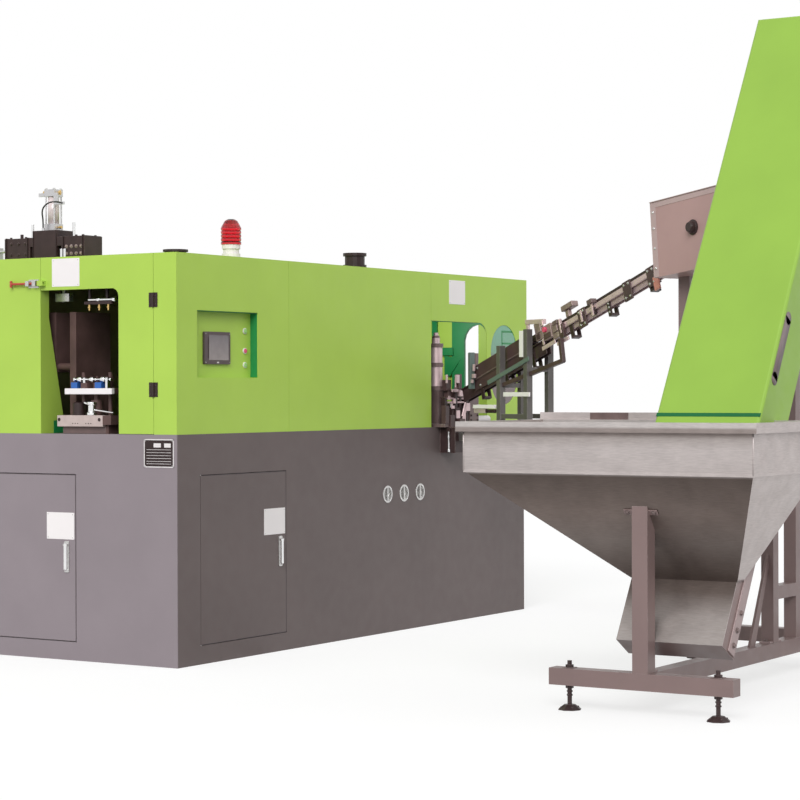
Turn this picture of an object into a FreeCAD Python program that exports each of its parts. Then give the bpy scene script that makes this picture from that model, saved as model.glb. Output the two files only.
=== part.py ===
# Stretch blow moulding machine with its preform hopper, elevator, roller sorter and chute.
# Millimetres, +Z up. The pieces are drawn with X along the control side from the machine's
# loading end, Y from the control side to the back, and Z from the floor. On writing, the
# origin moves to the middle of the machine base's underside.
import FreeCAD, Part
import math
import os

V = FreeCAD.Vector

# ---- machine: driving dimensions
MACHINE_WIDTH = 2000
BASE_LENGTH = 3430
BASE_HEIGHT = 1122
COVER_OVERHANG = 40
COVER_LENGTH = BASE_LENGTH + COVER_OVERHANG
COVER_HEIGHT = 878
BASE_SHEET = 4
COVER_SHEET = 3
BED_THICKNESS = 30
FLOOR_THICKNESS = 10
BASE_POST = 80
COVER_POST = 40
SEAM = 2
RUN = 0.05
SEAT = 0.3

MACHINE_TOP = BASE_HEIGHT + COVER_HEIGHT
MIDDLE = V(COVER_LENGTH / 2, MACHINE_WIDTH / 2, 0)

# ---- lower doors, alike on the control side and the loading end
DOOR_WIDTH = 729
DOOR_HEIGHT = 832
DOOR_SILL = 91
DOOR_GAP = 3
DOOR_RETURN = 20
DOOR_PIN_RADIUS = 3
DOOR_PIN_INSET = 6
DOOR_PIN_GRIP = 12
FRONT_DOOR_START = 184
END_DOOR_START = 1357
HANDLE_WIDTH = 30
HANDLE_LENGTH = 155
HANDLE_PLATE = 6
HANDLE_FROM_EDGE = 55
HANDLE_TOP = 590
LEVER_WIDTH = 18
LEVER_THICKNESS = 11
LEVER_PIN_RADIUS = 3
EAR_THICKNESS = 4

# ---- round inspection ports on the control side
PORT_RADIUS = 48
PORT_PITCH = 170
PORT_START = BASE_LENGTH / 2 + 169
PORT_HEIGHT = BASE_HEIGHT - 361
PORT_DEPTH = 14
PORT_COUNT = 3
PORT_LIP = 3
PORT_BAR = 5

# ---- upper covers
CORNER_COVER_END = 941
INFEED_BAY = 1119
FRONT_COVER_END = COVER_LENGTH - INFEED_BAY
COVER_RETURN = 18
CORNER_WRAP = 140
RECESS_START = 163
RECESS_END = 668
RECESS_SILL = BASE_HEIGHT + 275
RECESS_TOP = BASE_HEIGHT + 603
RECESS_DEPTH = 45
INFEED_WIDTH = 633
INFEED_END = FRONT_COVER_END + INFEED_WIDTH
INFEED_TOP = BASE_HEIGHT + 606
INFEED_CORNER = 90
WINDOW_GAP = 49
WINDOW_WIDTH = 316
WINDOW_START = INFEED_END + WINDOW_GAP
WINDOW_END = WINDOW_START + WINDOW_WIDTH
WINDOW_SILL = BASE_HEIGHT + 124
WINDOW_TOP = BASE_HEIGHT + 598
WINDOW_GLASS = 5
ARCH_START = 331
ARCH_END = 470
ARCH_TOP = BASE_HEIGHT + 613
ARCH_CORNER = 80
PARTITION_DEPTH = 620
PARTITION_END = FRONT_COVER_END + 339
PARTITION_FLANGE = 70

# ---- inverted-L door at the loading end
END_DOOR_SEAM = 853
DOORWAY_START = 356
DOORWAY_TOP = BASE_HEIGHT + 714
DOORWAY_CORNER = 40
REVEAL_TOP_DEPTH = 64
REVEAL_FOOT_DEPTH = 173
REVEAL_KNEE = BASE_HEIGHT + 578
REVEAL_FOOT = BASE_HEIGHT + 78
HINGE_HEIGHT = 70
HINGE_LOW = BASE_HEIGHT + 182
HINGE_HIGH = BASE_HEIGHT + 616
HINGE_LEAF = 20
HINGE_LEAF_THICKNESS = 3
HINGE_KNUCKLE = 6
HINGE_PIN_RADIUS = 3
KNUCKLE_GAP = 0.5

# ---- slide latch beside the doorway
LATCH_RISE = 35
LATCH_HEIGHT = DOORWAY_TOP + LATCH_RISE
LATCH_START = 863
LATCH_LENGTH = 66
LATCH_BODY = 42
LATCH_THICKNESS = 26
LATCH_BOLT_RADIUS = 6
LATCH_GRIP = 74
LATCH_TEE = 34
LATCH_THROW = 30
STRIKER_LENGTH = 34
STRIKER_REACH = 17

# ---- control tray
PANEL_START = 266
PANEL_WIDTH = 213
PANEL_SILL = BASE_HEIGHT + 342
PANEL_HEIGHT = 160
PANEL_PROUD = 12
SCREEN_MARGIN = 28
SCREEN_DEPTH = 2
BUTTON_X = 614
BUTTON_HEIGHTS = {"start_button": BASE_HEIGHT + 511, "stop_button": BASE_HEIGHT + 411,
                  "reset_button": BASE_HEIGHT + 340}
BUTTON_RADIUS = 11
BEZEL_RADIUS = 15
BEZEL_DEPTH = 6
BUTTON_PROUD = 10
BUTTON_TRAVEL = 3

# ---- roof fittings
BEACON_PLACE = (593, 110)
BEACON_BASE_RADIUS = 47
BEACON_BASE_HEIGHT = 70
DOME_RADIUS = 52
DOME_HEIGHT = 127
DOME_RIBS = 5
DOME_GROOVE = 4
EXHAUST_PLACE = (1700, 90)
EXHAUST_RADIUS = 55
EXHAUST_FLANGE = 65
EXHAUST_HEIGHT = 80
VENT_PLACE = (150, 120)
VENT_RADIUS = 62
VENT_HEIGHT = 22

# ---- stretching and blowing unit on the roof
UNIT_X = 260
UNIT_Y = 990
UNIT_DEPTH = 140
UNIT_LEFT = 1260
UNIT_RIGHT = 729
UNIT_HEIGHT = 118
UNIT_FOOT_LEFT = 1089
UNIT_FOOT_RIGHT = 880
UNIT_CORE_HALF = 80
UNIT_CORE_HEIGHT = 153
UNIT_BRIDGE = 45
ROOF_SLOT_MARGIN = 25
GUIDE_RADIUS = 8.5
GUIDE_OFFSETS = (-135, 140)
GUIDE_TOP = 192
CYLINDER_SIDE = 67
CYLINDER_CAP = 36
CYLINDER_HEIGHT = 212
CYLINDER_BARREL = 28
CYLINDER_TIE = 4
PISTON_RADIUS = 10
STRETCH_RADIUS = 7
CAVITY_PITCH = 130
CROSSHEAD_GAP = 10
CROSSHEAD_THICKNESS = 30
CROSSHEAD_WIDTH = 60
STRETCH_REACH = 120
STRETCH_TRAVEL = 170
FITTING_RADIUS = 7
KNOB_PLACE = (260, 1204)
PIPE_RADIUS = 8
HOSE_RADIUS = 4
HOSE_STEPS = ((-35, -85, 292), (-70, -85, 296), (-94, -56, 294), (-97, -18, 274),
              (-80, 10, 246), (-54, 24, 212), (-54, 24, 168))
HOSE_ROUTE = [(UNIT_X + x, UNIT_Y + y, MACHINE_TOP + z) for x, y, z in HOSE_STEPS]

# ---- mould station on the bed
MOULD_LENGTH = 270
MOULD_DEPTH = 130
MOULD_SILL = BASE_HEIGHT + 308
MOULD_HEIGHT = 300
MOULD_TRAVEL = 70
PLATEN_THICKNESS = 40
PLATEN_GAP = 20
TIE_BAR_RADIUS = 18
BOTTLE_RADIUS = 34
BOTTLE_NECK = 13
BOTTLE_HEIGHT = 210
BOTTLE_SHOULDER = 45

# ---- lifting table seen through the doorway
TABLE_X = (40, 160)
TABLE_Y = (450, 700)
TABLE_SILL = BASE_HEIGHT + 196
TABLE_THICKNESS = 28
TABLE_TRAVEL = 60
TABLE_COLUMN = 20
TABLE_FOOT = BASE_HEIGHT + 45
TABLE_FOOT_THICKNESS = 45
LIFT_RAM = 15

# ---- preform infeed at the rear bay
INFEED_PLATE_X = (FRONT_COVER_END + 49, INFEED_END - 24)
INFEED_PLATE_Y = (-60, 160)
INFEED_PLATE = 18
INFEED_BOX_X = (FRONT_COVER_END + 94, FRONT_COVER_END + 249)
INFEED_BOX_DEPTH = 100
INFEED_BOX_SILL = BASE_HEIGHT - 147
ESCAPE_X = FRONT_COVER_END + 127
ESCAPE_Y = 45
ESCAPE_RADIUS = 36
ESCAPE_SILL = BASE_HEIGHT + 211
ESCAPE_TOP = BASE_HEIGHT + 478
ESCAPE_NOSE = 22
ESCAPE_NOSE_HEIGHT = 45
FORK_X = (PARTITION_END, PARTITION_END + 100)
FORK_Y = -55
FORK_SILL = BASE_HEIGHT + 208
FORK_TOP = BASE_HEIGHT + 425
FORK_SLOT = 34
FORK_THICKNESS = 12
PUSHER_Z = BASE_HEIGHT + 108
PUSHER_ROD = 12
PUSHER_TRAVEL = 90

# ---- feed chute
CHUTE_LOW = (FRONT_COVER_END + 238, -80, BASE_HEIGHT + 214)
CHUTE_HIGH = (FRONT_COVER_END - 651, -1836, BASE_HEIGHT + 848)
CHUTE_GAP = 24
CHUTE_WALL = 6
CHUTE_DEPTH = 34
CHUTE_SKIRT = 42
CHUTE_SKIRT_END = 0.42
CHUTE_HOOD_HEIGHT = 20
CHUTE_TUBE = 11
CLAMP_PLACES = (0.1, 0.225, 0.36, 0.55, 0.72, 0.9)
CLAMP_WIDTH = 30
CLAMP_HEIGHT = 46
STAND_POSTS = (0.225, 0.36)
STAND_POST = 36
STAND_OFFSET = 70
STAND_FOOT = BASE_HEIGHT - 82
STAND_RISE = 215
STAND_BAR = 26
STAND_BITE = 8

# ---- roller sorter above the chute
SORTER_LENGTH = 850
SORTER_WIDTH = 300
SORTER_WALL = 4
SORTER_SINK = 85
SORTER_RISE = 290
SORTER_TILT = 5
ROLLER_RADIUS = 45
ROLLER_GAP = 24
ROLLER_SHAFT = 12
SORTER_PLATE = 14
DRIVE_LENGTH = 120
ROLLER_RISE = 60

# ---- elevator, drawn upright and then leant back
ELEVATOR_FOOT = (FRONT_COVER_END - 2545, 275)
ELEVATOR_LEAN = 30.9
ELEVATOR_Y = (-2940, -2459)
ELEVATOR_LENGTH = 3144
ELEVATOR_BACK = 80
HOOD_FRONT = -187
HOOD_START = 860
HOOD_CORNER = 14
FRAME_FRONT = -45
FRAME_SHEET = 5
DRUM_RADIUS = 35
DRUM_LINE = 20
DRUM_INSET = 80
DRUM_SHAFT = 14
BELT_THICKNESS = 3
BELT_MARGIN = 12
FLIGHT_HEIGHT = 19
FLIGHT_THICKNESS = 6
FLIGHT_PITCH = 180
MOTOR_RADIUS = 62
MOTOR_LENGTH = 190

# ---- hopper tub
TUB_X = (ELEVATOR_FOOT[0] - 206, ELEVATOR_FOOT[0] + 494)
TUB_Y = (-3144, -1830)
TUB_TOP = 1200
TUB_SKIRT = 992
TUB_FOOT = 545
TUB_SLOT = 60
TUB_SHEET = 3
RIM_WIDTH = 25
RIM_HEIGHT = 42
FOOT_PLATE_TOP = 320

# ---- welded stand
BEAM = 70
BEAM_SILL = 104
BEAM_Y = -2605
STAND_FRONT = ELEVATOR_FOOT[0] - 77
FRONT_BEAM_Y = (-3016, -2184)
REAR_BEAM_Y = (-3016, -1850)
SORTER_LEG_INSET = 75
ELEVATOR_POST = ELEVATOR_FOOT[0] + 1237
POST = 60
BRACE_SILL = 370
STRUT_TOP = 640
STRUT_FOOT = ELEVATOR_POST - 243
STRUT = 12
PAD_RADIUS = 50
PAD_HEIGHT = 22
PAD_SOLE = 3
STEM_RADIUS = 10
STEM_SIDES = 8
STEM_TOP = 205
NUT_RADIUS = 17
NUT_HEIGHT = 14


# ---- helpers
def block(x, y, z):
    """Box between the low and high value on each axis."""
    return Part.makeBox(x[1] - x[0], y[1] - y[0], z[1] - z[0], V(x[0], y[0], z[0]))


def rod(radius, start, end):
    return Part.makeCylinder(radius, (end - start).Length, start, end - start)


def ring(outer, inner, start, end):
    return rod(outer, start, end).cut(rod(inner, start, end))


def turned(profile, at, axis=V(0, 0, 1), sides=16):
    """Many-sided solid round a line, from pairs of radius and distance along it, no radius being zero."""
    side = V(axis.z, axis.x, axis.y)
    other = axis.cross(side)
    turns = [2 * math.pi * number / sides for number in range(sides)]
    rings = [[at + axis * reach + side * (radius * math.cos(turn)) + other * (radius * math.sin(turn))
              for turn in turns] for radius, reach in profile]
    faces = [Part.Face(Part.makePolygon(loop + loop[:1])) for loop in (rings[0], rings[-1])]
    for low, high in zip(rings, rings[1:]):
        for start, end in zip(range(sides), list(range(1, sides)) + [0]):
            faces.append(Part.Face(Part.makePolygon([low[start], low[end], high[end], high[start], low[start]])))
    solid = Part.Solid(Part.Shell(faces))
    return solid if solid.Volume > 0 else solid.reversed()


def fuse(*shapes):
    return shapes[0].multiFuse(list(shapes[1:])).removeSplitter()


def cut(shape, *tools):
    return shape.cut(list(tools))


def group(*shapes):
    solids = []
    for shape in shapes:
        solids += shape.Solids
    return Part.makeCompound(solids)


def butted(*shapes):
    """Separate solids, each ending against the ones before it."""
    done = []
    for shape in shapes:
        done.append(shape.cut(done) if done else shape)
    return group(*done)


def moved(shape, x, y, z, turn=0):
    """Copy turned about the Z axis by so many degrees, then moved."""
    copy = shape.copy()
    copy.rotate(V(0, 0, 0), V(0, 0, 1), turn)
    copy.translate(V(x, y, z))
    return copy


def on_side(y):
    """Map of outline coordinates onto a wall that faces along Y."""
    return lambda u, v: V(u, y, v)


def on_end(x):
    """Map of outline coordinates onto a wall that faces along X."""
    return lambda u, v: V(x, u, v)


def on_level(z):
    """Map of outline coordinates onto a level."""
    return lambda u, v: V(u, v, z)


def outline(corners, at):
    """Closed wire through corners (u, v) or (u, v, radius), rounded where a radius is given."""
    count = len(corners)
    spans = []
    for number in range(count):
        before = corners[number - 1]
        here = corners[number]
        after = corners[(number + 1) % count]
        point = V(here[0], here[1], 0)
        back = V(before[0], before[1], 0) - point
        ahead = V(after[0], after[1], 0) - point
        radius = here[2] if len(here) > 2 else 0
        if radius == 0:
            spans.append((point, None, point))
            continue
        back.normalize()
        ahead.normalize()
        half = back.getAngle(ahead) / 2
        reach = radius / math.tan(half)
        to_centre = (back + ahead).normalize()
        middle = point + to_centre * (radius / math.sin(half) - radius)
        spans.append((point + back * reach, middle, point + ahead * reach))
    edges = []
    for number in range(count):
        start, middle, end = [p and at(p.x, p.y) for p in spans[number]]
        following = spans[(number + 1) % count][0]
        following = at(following.x, following.y)
        if middle:
            edges.append(Part.Arc(start, middle, end).toShape())
        if (following - end).Length > 1e-6:
            edges.append(Part.makeLine(end, following))
    return Part.Wire(edges)


def slab(corners, at, thickness, holes=()):
    """Sheet of the given thickness vector with holes cut through it."""
    sheet = Part.Face(outline(corners, at)).extrude(thickness)
    for hole in holes:
        tool = Part.Face(outline(hole, at)).extrude(thickness * 3)
        tool.translate(thickness * -1)
        sheet = sheet.cut(tool)
    return sheet


def rectangle(u, v, radius=0):
    return [(u[0], v[0], radius), (u[1], v[0], radius), (u[1], v[1], radius), (u[0], v[1], radius)]


def inner(span, margin):
    return (span[0] + margin, span[1] - margin)


# ---- lower cabinet
def door_cutout():
    return (0, DOOR_WIDTH), (DOOR_SILL, DOOR_SILL + DOOR_HEIGHT)


def cutout_frame():
    """Folded return round a door cut-out, drawn with the hinge side at X 0 and outside at Y 0."""
    across, up = door_cutout()
    outer = block(inner(across, -BASE_SHEET), (0, DOOR_RETURN), inner(up, -BASE_SHEET))
    return outer.cut(block(across, (-1, DOOR_RETURN + 1), up))


def door_pins():
    """Two pins that stand in the cut-out's head and sill and carry the door."""
    across, up = door_cutout()
    x = DOOR_GAP + DOOR_PIN_INSET
    low = rod(DOOR_PIN_RADIUS, V(x, DOOR_PIN_INSET, up[0]), V(x, DOOR_PIN_INSET, up[0] + DOOR_PIN_GRIP))
    high = rod(DOOR_PIN_RADIUS, V(x, DOOR_PIN_INSET, up[1] - DOOR_PIN_GRIP), V(x, DOOR_PIN_INSET, up[1]))
    return group(low, high)


def lower_door():
    """Door pan with folded edges and a bored eye in two corners for the pins."""
    across, up = door_cutout()
    wide = inner(across, DOOR_GAP)
    tall = inner(up, DOOR_GAP)
    pan = block(wide, (0, DOOR_RETURN), tall)
    pan = pan.cut(block(inner(wide, BASE_SHEET), (BASE_SHEET, DOOR_RETURN + 1), inner(tall, BASE_SHEET)))
    x = DOOR_GAP + DOOR_PIN_INSET
    eye = 2 * DOOR_PIN_INSET
    eyes = []
    bores = []
    for low, high in ((tall[0], up[0] + DOOR_PIN_GRIP), (up[1] - DOOR_PIN_GRIP, tall[1])):
        eyes.append(block((wide[0], wide[0] + eye), (0, eye), (low, high)))
        bores.append(rod(DOOR_PIN_RADIUS + RUN, V(x, DOOR_PIN_INSET, low - 1), V(x, DOOR_PIN_INSET, high + 1)))
    return cut(fuse(pan, *eyes), *bores)


def lever_axis():
    """Pivot of the handle's lever in the door's own coordinates."""
    x = DOOR_WIDTH - DOOR_GAP - HANDLE_FROM_EDGE
    y = -HANDLE_PLATE - SEAT - LEVER_THICKNESS / 2
    return V(x, y, HANDLE_TOP - LEVER_WIDTH)


def handle_plate():
    """Escutcheon with two ears that carry the lever's pin."""
    pivot = lever_axis()
    across = (pivot.x - HANDLE_WIDTH / 2, pivot.x + HANDLE_WIDTH / 2)
    up = (HANDLE_TOP - HANDLE_LENGTH, HANDLE_TOP)
    plate = slab(rectangle(across, up, HANDLE_WIDTH / 4), on_side(-HANDLE_PLATE), V(0, HANDLE_PLATE, 0))
    ears = []
    for side in (-1, 1):
        near = pivot.x + side * (LEVER_WIDTH / 2 + KNUCKLE_GAP)
        far = near + side * EAR_THICKNESS
        ears.append(block(sorted((near, far)), (pivot.y - LEVER_THICKNESS / 2, -HANDLE_PLATE),
                          (pivot.z - LEVER_THICKNESS / 2, pivot.z + LEVER_THICKNESS / 2)))
    reach = V(HANDLE_WIDTH, 0, 0)
    return cut(fuse(plate, *ears), rod(LEVER_PIN_RADIUS + RUN, pivot - reach, pivot + reach))


def handle_lever():
    """Lever that lifts off the plate about its cross pin; its grip tapers outwards."""
    pivot = lever_axis()
    half = LEVER_THICKNESS / 2
    foot = HANDLE_TOP - HANDLE_LENGTH + LEVER_WIDTH / 2
    side = [(pivot.y + half, pivot.z), (pivot.y + half, foot + half), (pivot.y, foot),
            (pivot.y - half, foot + half), (pivot.y - half, pivot.z)]
    start = pivot.x - LEVER_WIDTH / 2
    arm = slab(side, on_end(start), V(LEVER_WIDTH, 0, 0))
    boss = rod(half, V(start, pivot.y, pivot.z), V(start + LEVER_WIDTH, pivot.y, pivot.z))
    reach = V(LEVER_WIDTH / 2 + KNUCKLE_GAP + EAR_THICKNESS, 0, 0)
    return fuse(arm, boss, rod(LEVER_PIN_RADIUS, pivot - reach, pivot + reach))


def base_side_panel():
    """Control side of the lower cabinet with its door cut-out and the inspection ports' holes."""
    across = (BASE_SHEET, BASE_LENGTH)
    door_x = (FRONT_DOOR_START, FRONT_DOOR_START + DOOR_WIDTH)
    door_z = door_cutout()[1]
    wall = slab(rectangle(across, (0, BASE_HEIGHT)), on_side(0), V(0, BASE_SHEET, 0), [rectangle(door_x, door_z)])
    wall = fuse(wall, moved(cutout_frame(), FRONT_DOOR_START, 0, 0))
    opening = PORT_RADIUS - PORT_DEPTH / 2
    holes = [turned([(opening, -1), (opening, BASE_SHEET + 1)], V(x, 0, PORT_HEIGHT), V(0, 1, 0))
             for x in port_places()]
    return cut(wall, *holes)


def port_places():
    return [PORT_START + number * PORT_PITCH for number in range(PORT_COUNT)]


def inspection_ports():
    """Flanged round ports with a dished face and an upright finger bar."""
    ports = []
    barrel = PORT_RADIUS - PORT_DEPTH / 2 - SEAT
    inward = V(0, 1, 0)
    for x in port_places():
        middle = V(x, 0, PORT_HEIGHT)
        body = turned([(PORT_RADIUS, -PORT_LIP), (PORT_RADIUS, 0), (barrel, 0), (barrel, BASE_SHEET + PORT_DEPTH)],
                      middle, inward)
        dish = turned([(barrel - PORT_LIP, -PORT_LIP - 1), (barrel - PORT_LIP, PORT_DEPTH)], middle, inward)
        reach = barrel - PORT_LIP / 2
        bar = block((x - PORT_BAR, x + PORT_BAR), (-PORT_LIP, PORT_DEPTH + 1),
                    (PORT_HEIGHT - reach, PORT_HEIGHT + reach))
        ports.append(fuse(body.cut(dish), bar))
    return group(*ports)


def base_end_panel():
    """Loading end of the lower cabinet with its door cut-out."""
    door_y = (END_DOOR_START - DOOR_WIDTH, END_DOOR_START)
    door_z = door_cutout()[1]
    wall = slab(rectangle((0, MACHINE_WIDTH), (0, BASE_HEIGHT)), on_end(0), V(BASE_SHEET, 0, 0),
                [rectangle(door_y, door_z)])
    return fuse(wall, moved(cutout_frame(), 0, END_DOOR_START, 0, -90))


def base_back_panel():
    return block((BASE_SHEET, BASE_LENGTH), (MACHINE_WIDTH - BASE_SHEET, MACHINE_WIDTH), (0, BASE_HEIGHT))


def base_far_panel():
    return block((BASE_LENGTH - BASE_SHEET, BASE_LENGTH), (BASE_SHEET, MACHINE_WIDTH - BASE_SHEET),
                 (0, BASE_HEIGHT))


def inside_base():
    """Clear plan inside the lower cabinet's sheets."""
    return (BASE_SHEET, BASE_LENGTH - BASE_SHEET), (BASE_SHEET, MACHINE_WIDTH - BASE_SHEET)


def base_frame():
    """Floor plate with posts in its corners and beside the doors."""
    across, deep = inside_base()
    top = BASE_HEIGHT - BED_THICKNESS
    solids = [block(across, deep, (0, FLOOR_THICKNESS))]
    first = FRONT_DOOR_START + DOOR_WIDTH + BASE_SHEET
    for x in (across[0], first, FRONT_COVER_END, across[1] - BASE_POST):
        for y in (deep[0], deep[1] - BASE_POST):
            solids.append(block((x, x + BASE_POST), (y, y + BASE_POST), (FLOOR_THICKNESS, top)))
    return group(*solids)


def machine_bed():
    across, deep = inside_base()
    return block(across, deep, (BASE_HEIGHT - BED_THICKNESS, BASE_HEIGHT))


# ---- upper covers
def corner_cover():
    """Sheet folded round the operator's corner, with the recessed control tray."""
    levels = (BASE_HEIGHT, MACHINE_TOP)
    front = block((0, CORNER_COVER_END - SEAM / 2), (0, COVER_SHEET), levels)
    wrap = block((0, COVER_SHEET), (0, CORNER_WRAP - SEAM / 2), levels)
    tray_x = (RECESS_START - COVER_SHEET, RECESS_END + COVER_SHEET)
    tray_z = (RECESS_SILL - COVER_SHEET, RECESS_TOP + COVER_SHEET)
    tray = block(tray_x, (0, RECESS_DEPTH + COVER_SHEET), tray_z)
    hollow = block((RECESS_START, RECESS_END), (-1, RECESS_DEPTH), (RECESS_SILL, RECESS_TOP))
    return fuse(front, wrap, tray).cut(hollow)


def front_cover():
    return block((CORNER_COVER_END + SEAM / 2, FRONT_COVER_END - SEAM / 2), (0, COVER_SHEET),
                 (BASE_HEIGHT, MACHINE_TOP))


def infeed_cover():
    """Sheet over the rear bay with the infeed opening and the long window's hole."""
    start = FRONT_COVER_END + SEAM / 2
    levels = (BASE_HEIGHT, MACHINE_TOP)
    profile = [(INFEED_END, levels[0]), (COVER_LENGTH, levels[0]), (COVER_LENGTH, levels[1]),
               (start, levels[1]), (start, INFEED_TOP), (INFEED_END, INFEED_TOP, INFEED_CORNER)]
    window = rectangle((WINDOW_START, WINDOW_END), (WINDOW_SILL, WINDOW_TOP), (WINDOW_END - WINDOW_START) / 2.02)
    return slab(profile, on_side(0), V(0, COVER_SHEET, 0), [window])


def window_glass():
    """Clear pane behind the long window's hole."""
    lap = COVER_RETURN
    across = (WINDOW_START - lap, WINDOW_END + lap)
    up = (WINDOW_SILL - lap, WINDOW_TOP + lap)
    return slab(rectangle(across, up, (across[1] - across[0]) / 2.02), on_side(COVER_SHEET), V(0, WINDOW_GLASS, 0))


def far_cover():
    """Far end with the arched way through for the feed chute's overrun."""
    profile = rectangle((COVER_SHEET, MACHINE_WIDTH - COVER_SHEET), (BASE_HEIGHT, MACHINE_TOP))
    arch = [(ARCH_START, BASE_HEIGHT + COVER_POST), (ARCH_END, BASE_HEIGHT + COVER_POST),
            (ARCH_END, ARCH_TOP, ARCH_CORNER), (ARCH_START, ARCH_TOP)]
    return slab(profile, on_end(COVER_LENGTH - COVER_SHEET), V(COVER_SHEET, 0, 0), [arch])


def back_cover():
    return block((COVER_SHEET, COVER_LENGTH), (MACHINE_WIDTH - COVER_SHEET, MACHINE_WIDTH),
                 (BASE_HEIGHT, MACHINE_TOP))


def inside_cover():
    """Clear plan inside the upper covers."""
    return (COVER_SHEET, COVER_LENGTH - COVER_SHEET), (COVER_SHEET, MACHINE_WIDTH - COVER_SHEET)


def cover_frame():
    """Square posts on the bed at the seams, with rails that carry the roof."""
    across, deep = inside_cover()
    foot = BASE_HEIGHT
    rail = MACHINE_TOP - COVER_SHEET - COVER_POST
    top = rail + COVER_POST
    seam = CORNER_COVER_END - COVER_POST / 2
    last = FRONT_COVER_END - COVER_POST
    near = across[0] + COVER_RETURN
    far = BASE_LENGTH - BASE_SHEET - COVER_POST
    solids = []
    for x in (seam, last, far):
        for y in (deep[0], deep[1] - COVER_POST):
            solids.append(block((x, x + COVER_POST), (y, y + COVER_POST), (foot, rail)))
    solids.append(block((near, near + COVER_POST), (deep[0], deep[0] + COVER_POST), (foot, rail)))
    solids.append(block((near, near + COVER_POST), (deep[1] - COVER_POST, deep[1]), (foot, rail)))
    for y in (deep[0], deep[1] - COVER_POST):
        solids.append(block((near, across[1]), (y, y + COVER_POST), (rail, top)))
    for x in (seam, last, far):
        solids.append(block((x, x + COVER_POST), (deep[0] + COVER_POST, deep[1] - COVER_POST), (rail, top)))
    return group(*solids)


def transfer_partition():
    """Folded inner wall behind the infeed opening, standing on the bed."""
    start = FRONT_COVER_END - COVER_POST
    levels = (BASE_HEIGHT, MACHINE_TOP - COVER_SHEET - COVER_POST)
    wall = block((start, PARTITION_END), (PARTITION_DEPTH, PARTITION_DEPTH + COVER_SHEET), levels)
    flanges = []
    for x in (start, (start + PARTITION_END) / 2, PARTITION_END - COVER_SHEET):
        flanges.append(block((x, x + COVER_SHEET), (PARTITION_DEPTH - PARTITION_FLANGE, PARTITION_DEPTH), levels))
    return butted(wall, *flanges)


def roof():
    """Top sheet with the slot that the blowing unit's rods pass through."""
    across, deep = inside_cover()
    levels = (MACHINE_TOP - COVER_SHEET, MACHINE_TOP)
    slot = block(inner(unit_x(), ROOF_SLOT_MARGIN), inner(unit_y(), ROOF_SLOT_MARGIN), inner(levels, -1))
    return block(across, deep, levels).cut(slot)


def end_door():
    """Inverted-L door: a header over the doorway and a column beside the hinges."""
    levels = (BASE_HEIGHT + SEAM, MACHINE_TOP)
    start = CORNER_WRAP + SEAM / 2
    end = END_DOOR_SEAM - SEAM / 2
    profile = [(start, levels[0]), (DOORWAY_START, levels[0]), (DOORWAY_START, DOORWAY_TOP, DOORWAY_CORNER),
               (end, DOORWAY_TOP), (end, levels[1]), (start, levels[1])]
    sheet = slab(profile, on_end(0), V(COVER_SHEET, 0, 0))
    inset = COVER_SHEET
    head_room = MACHINE_TOP - COVER_SHEET - SEAT
    column = block((COVER_SHEET, COVER_RETURN), (start, start + inset), (levels[0], head_room))
    reveal = block((COVER_SHEET, COVER_RETURN), (DOORWAY_START - inset, DOORWAY_START),
                   (levels[0], DOORWAY_TOP - DOORWAY_CORNER))
    head = block((COVER_SHEET, COVER_RETURN), (DOORWAY_START + DOORWAY_CORNER, end),
                 (DOORWAY_TOP, DOORWAY_TOP + inset))
    bolt = V(-STRIKER_REACH, end, LATCH_HEIGHT)
    striker = block((-STRIKER_REACH - LATCH_THICKNESS / 2, 0), (end - STRIKER_LENGTH, end),
                    (LATCH_HEIGHT - LATCH_THICKNESS / 2, LATCH_HEIGHT + LATCH_THICKNESS / 2))
    bore = rod(LATCH_BOLT_RADIUS + SEAT, bolt + V(0, 1, 0), bolt - V(0, STRIKER_LENGTH + 1, 0))
    return fuse(sheet, column, reveal, head, striker).cut(bore)


def end_side_cover():
    """Fixed sheet left of the doorway with its splayed reveal."""
    levels = (BASE_HEIGHT, MACHINE_TOP)
    sheet = block((0, COVER_SHEET), (END_DOOR_SEAM + SEAM / 2, MACHINE_WIDTH), levels)
    y = END_DOOR_SEAM + SEAM / 2
    reveal = [(0, levels[0]), (REVEAL_FOOT_DEPTH, levels[0]), (REVEAL_FOOT_DEPTH, REVEAL_FOOT),
              (REVEAL_TOP_DEPTH, REVEAL_KNEE), (REVEAL_TOP_DEPTH, DOORWAY_TOP + COVER_RETURN),
              (0, DOORWAY_TOP + COVER_RETURN)]
    return fuse(sheet, slab(reveal, on_side(y), V(0, COVER_SHEET, 0)))


def hinge_axis(sill):
    return V(-HINGE_KNUCKLE, CORNER_WRAP, sill)


def hinge_leaf(sill, side, spans):
    """One leaf, on the door's side (1) or the fixed side (-1), with knuckles over the given spans."""
    axis = hinge_axis(sill)
    edge = CORNER_WRAP + side * HINGE_KNUCKLE
    tip = CORNER_WRAP + side * (HINGE_KNUCKLE + HINGE_LEAF)
    across = sorted((edge, tip))
    leaf = block((-HINGE_LEAF_THICKNESS, 0), across, (sill, sill + HINGE_HEIGHT))
    parts = [leaf]
    for low, high in spans:
        parts.append(turned([(HINGE_KNUCKLE - SEAT, low), (HINGE_KNUCKLE - SEAT, high)], axis, sides=16))
        web = sorted((CORNER_WRAP, edge))
        parts.append(block((-HINGE_KNUCKLE, -HINGE_KNUCKLE + HINGE_LEAF_THICKNESS), web,
                           (sill + low, sill + high)))
        parts.append(block((-HINGE_KNUCKLE, 0), sorted((edge, edge + side * HINGE_LEAF_THICKNESS)),
                           (sill + low, sill + high)))
    return fuse(*parts)


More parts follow.
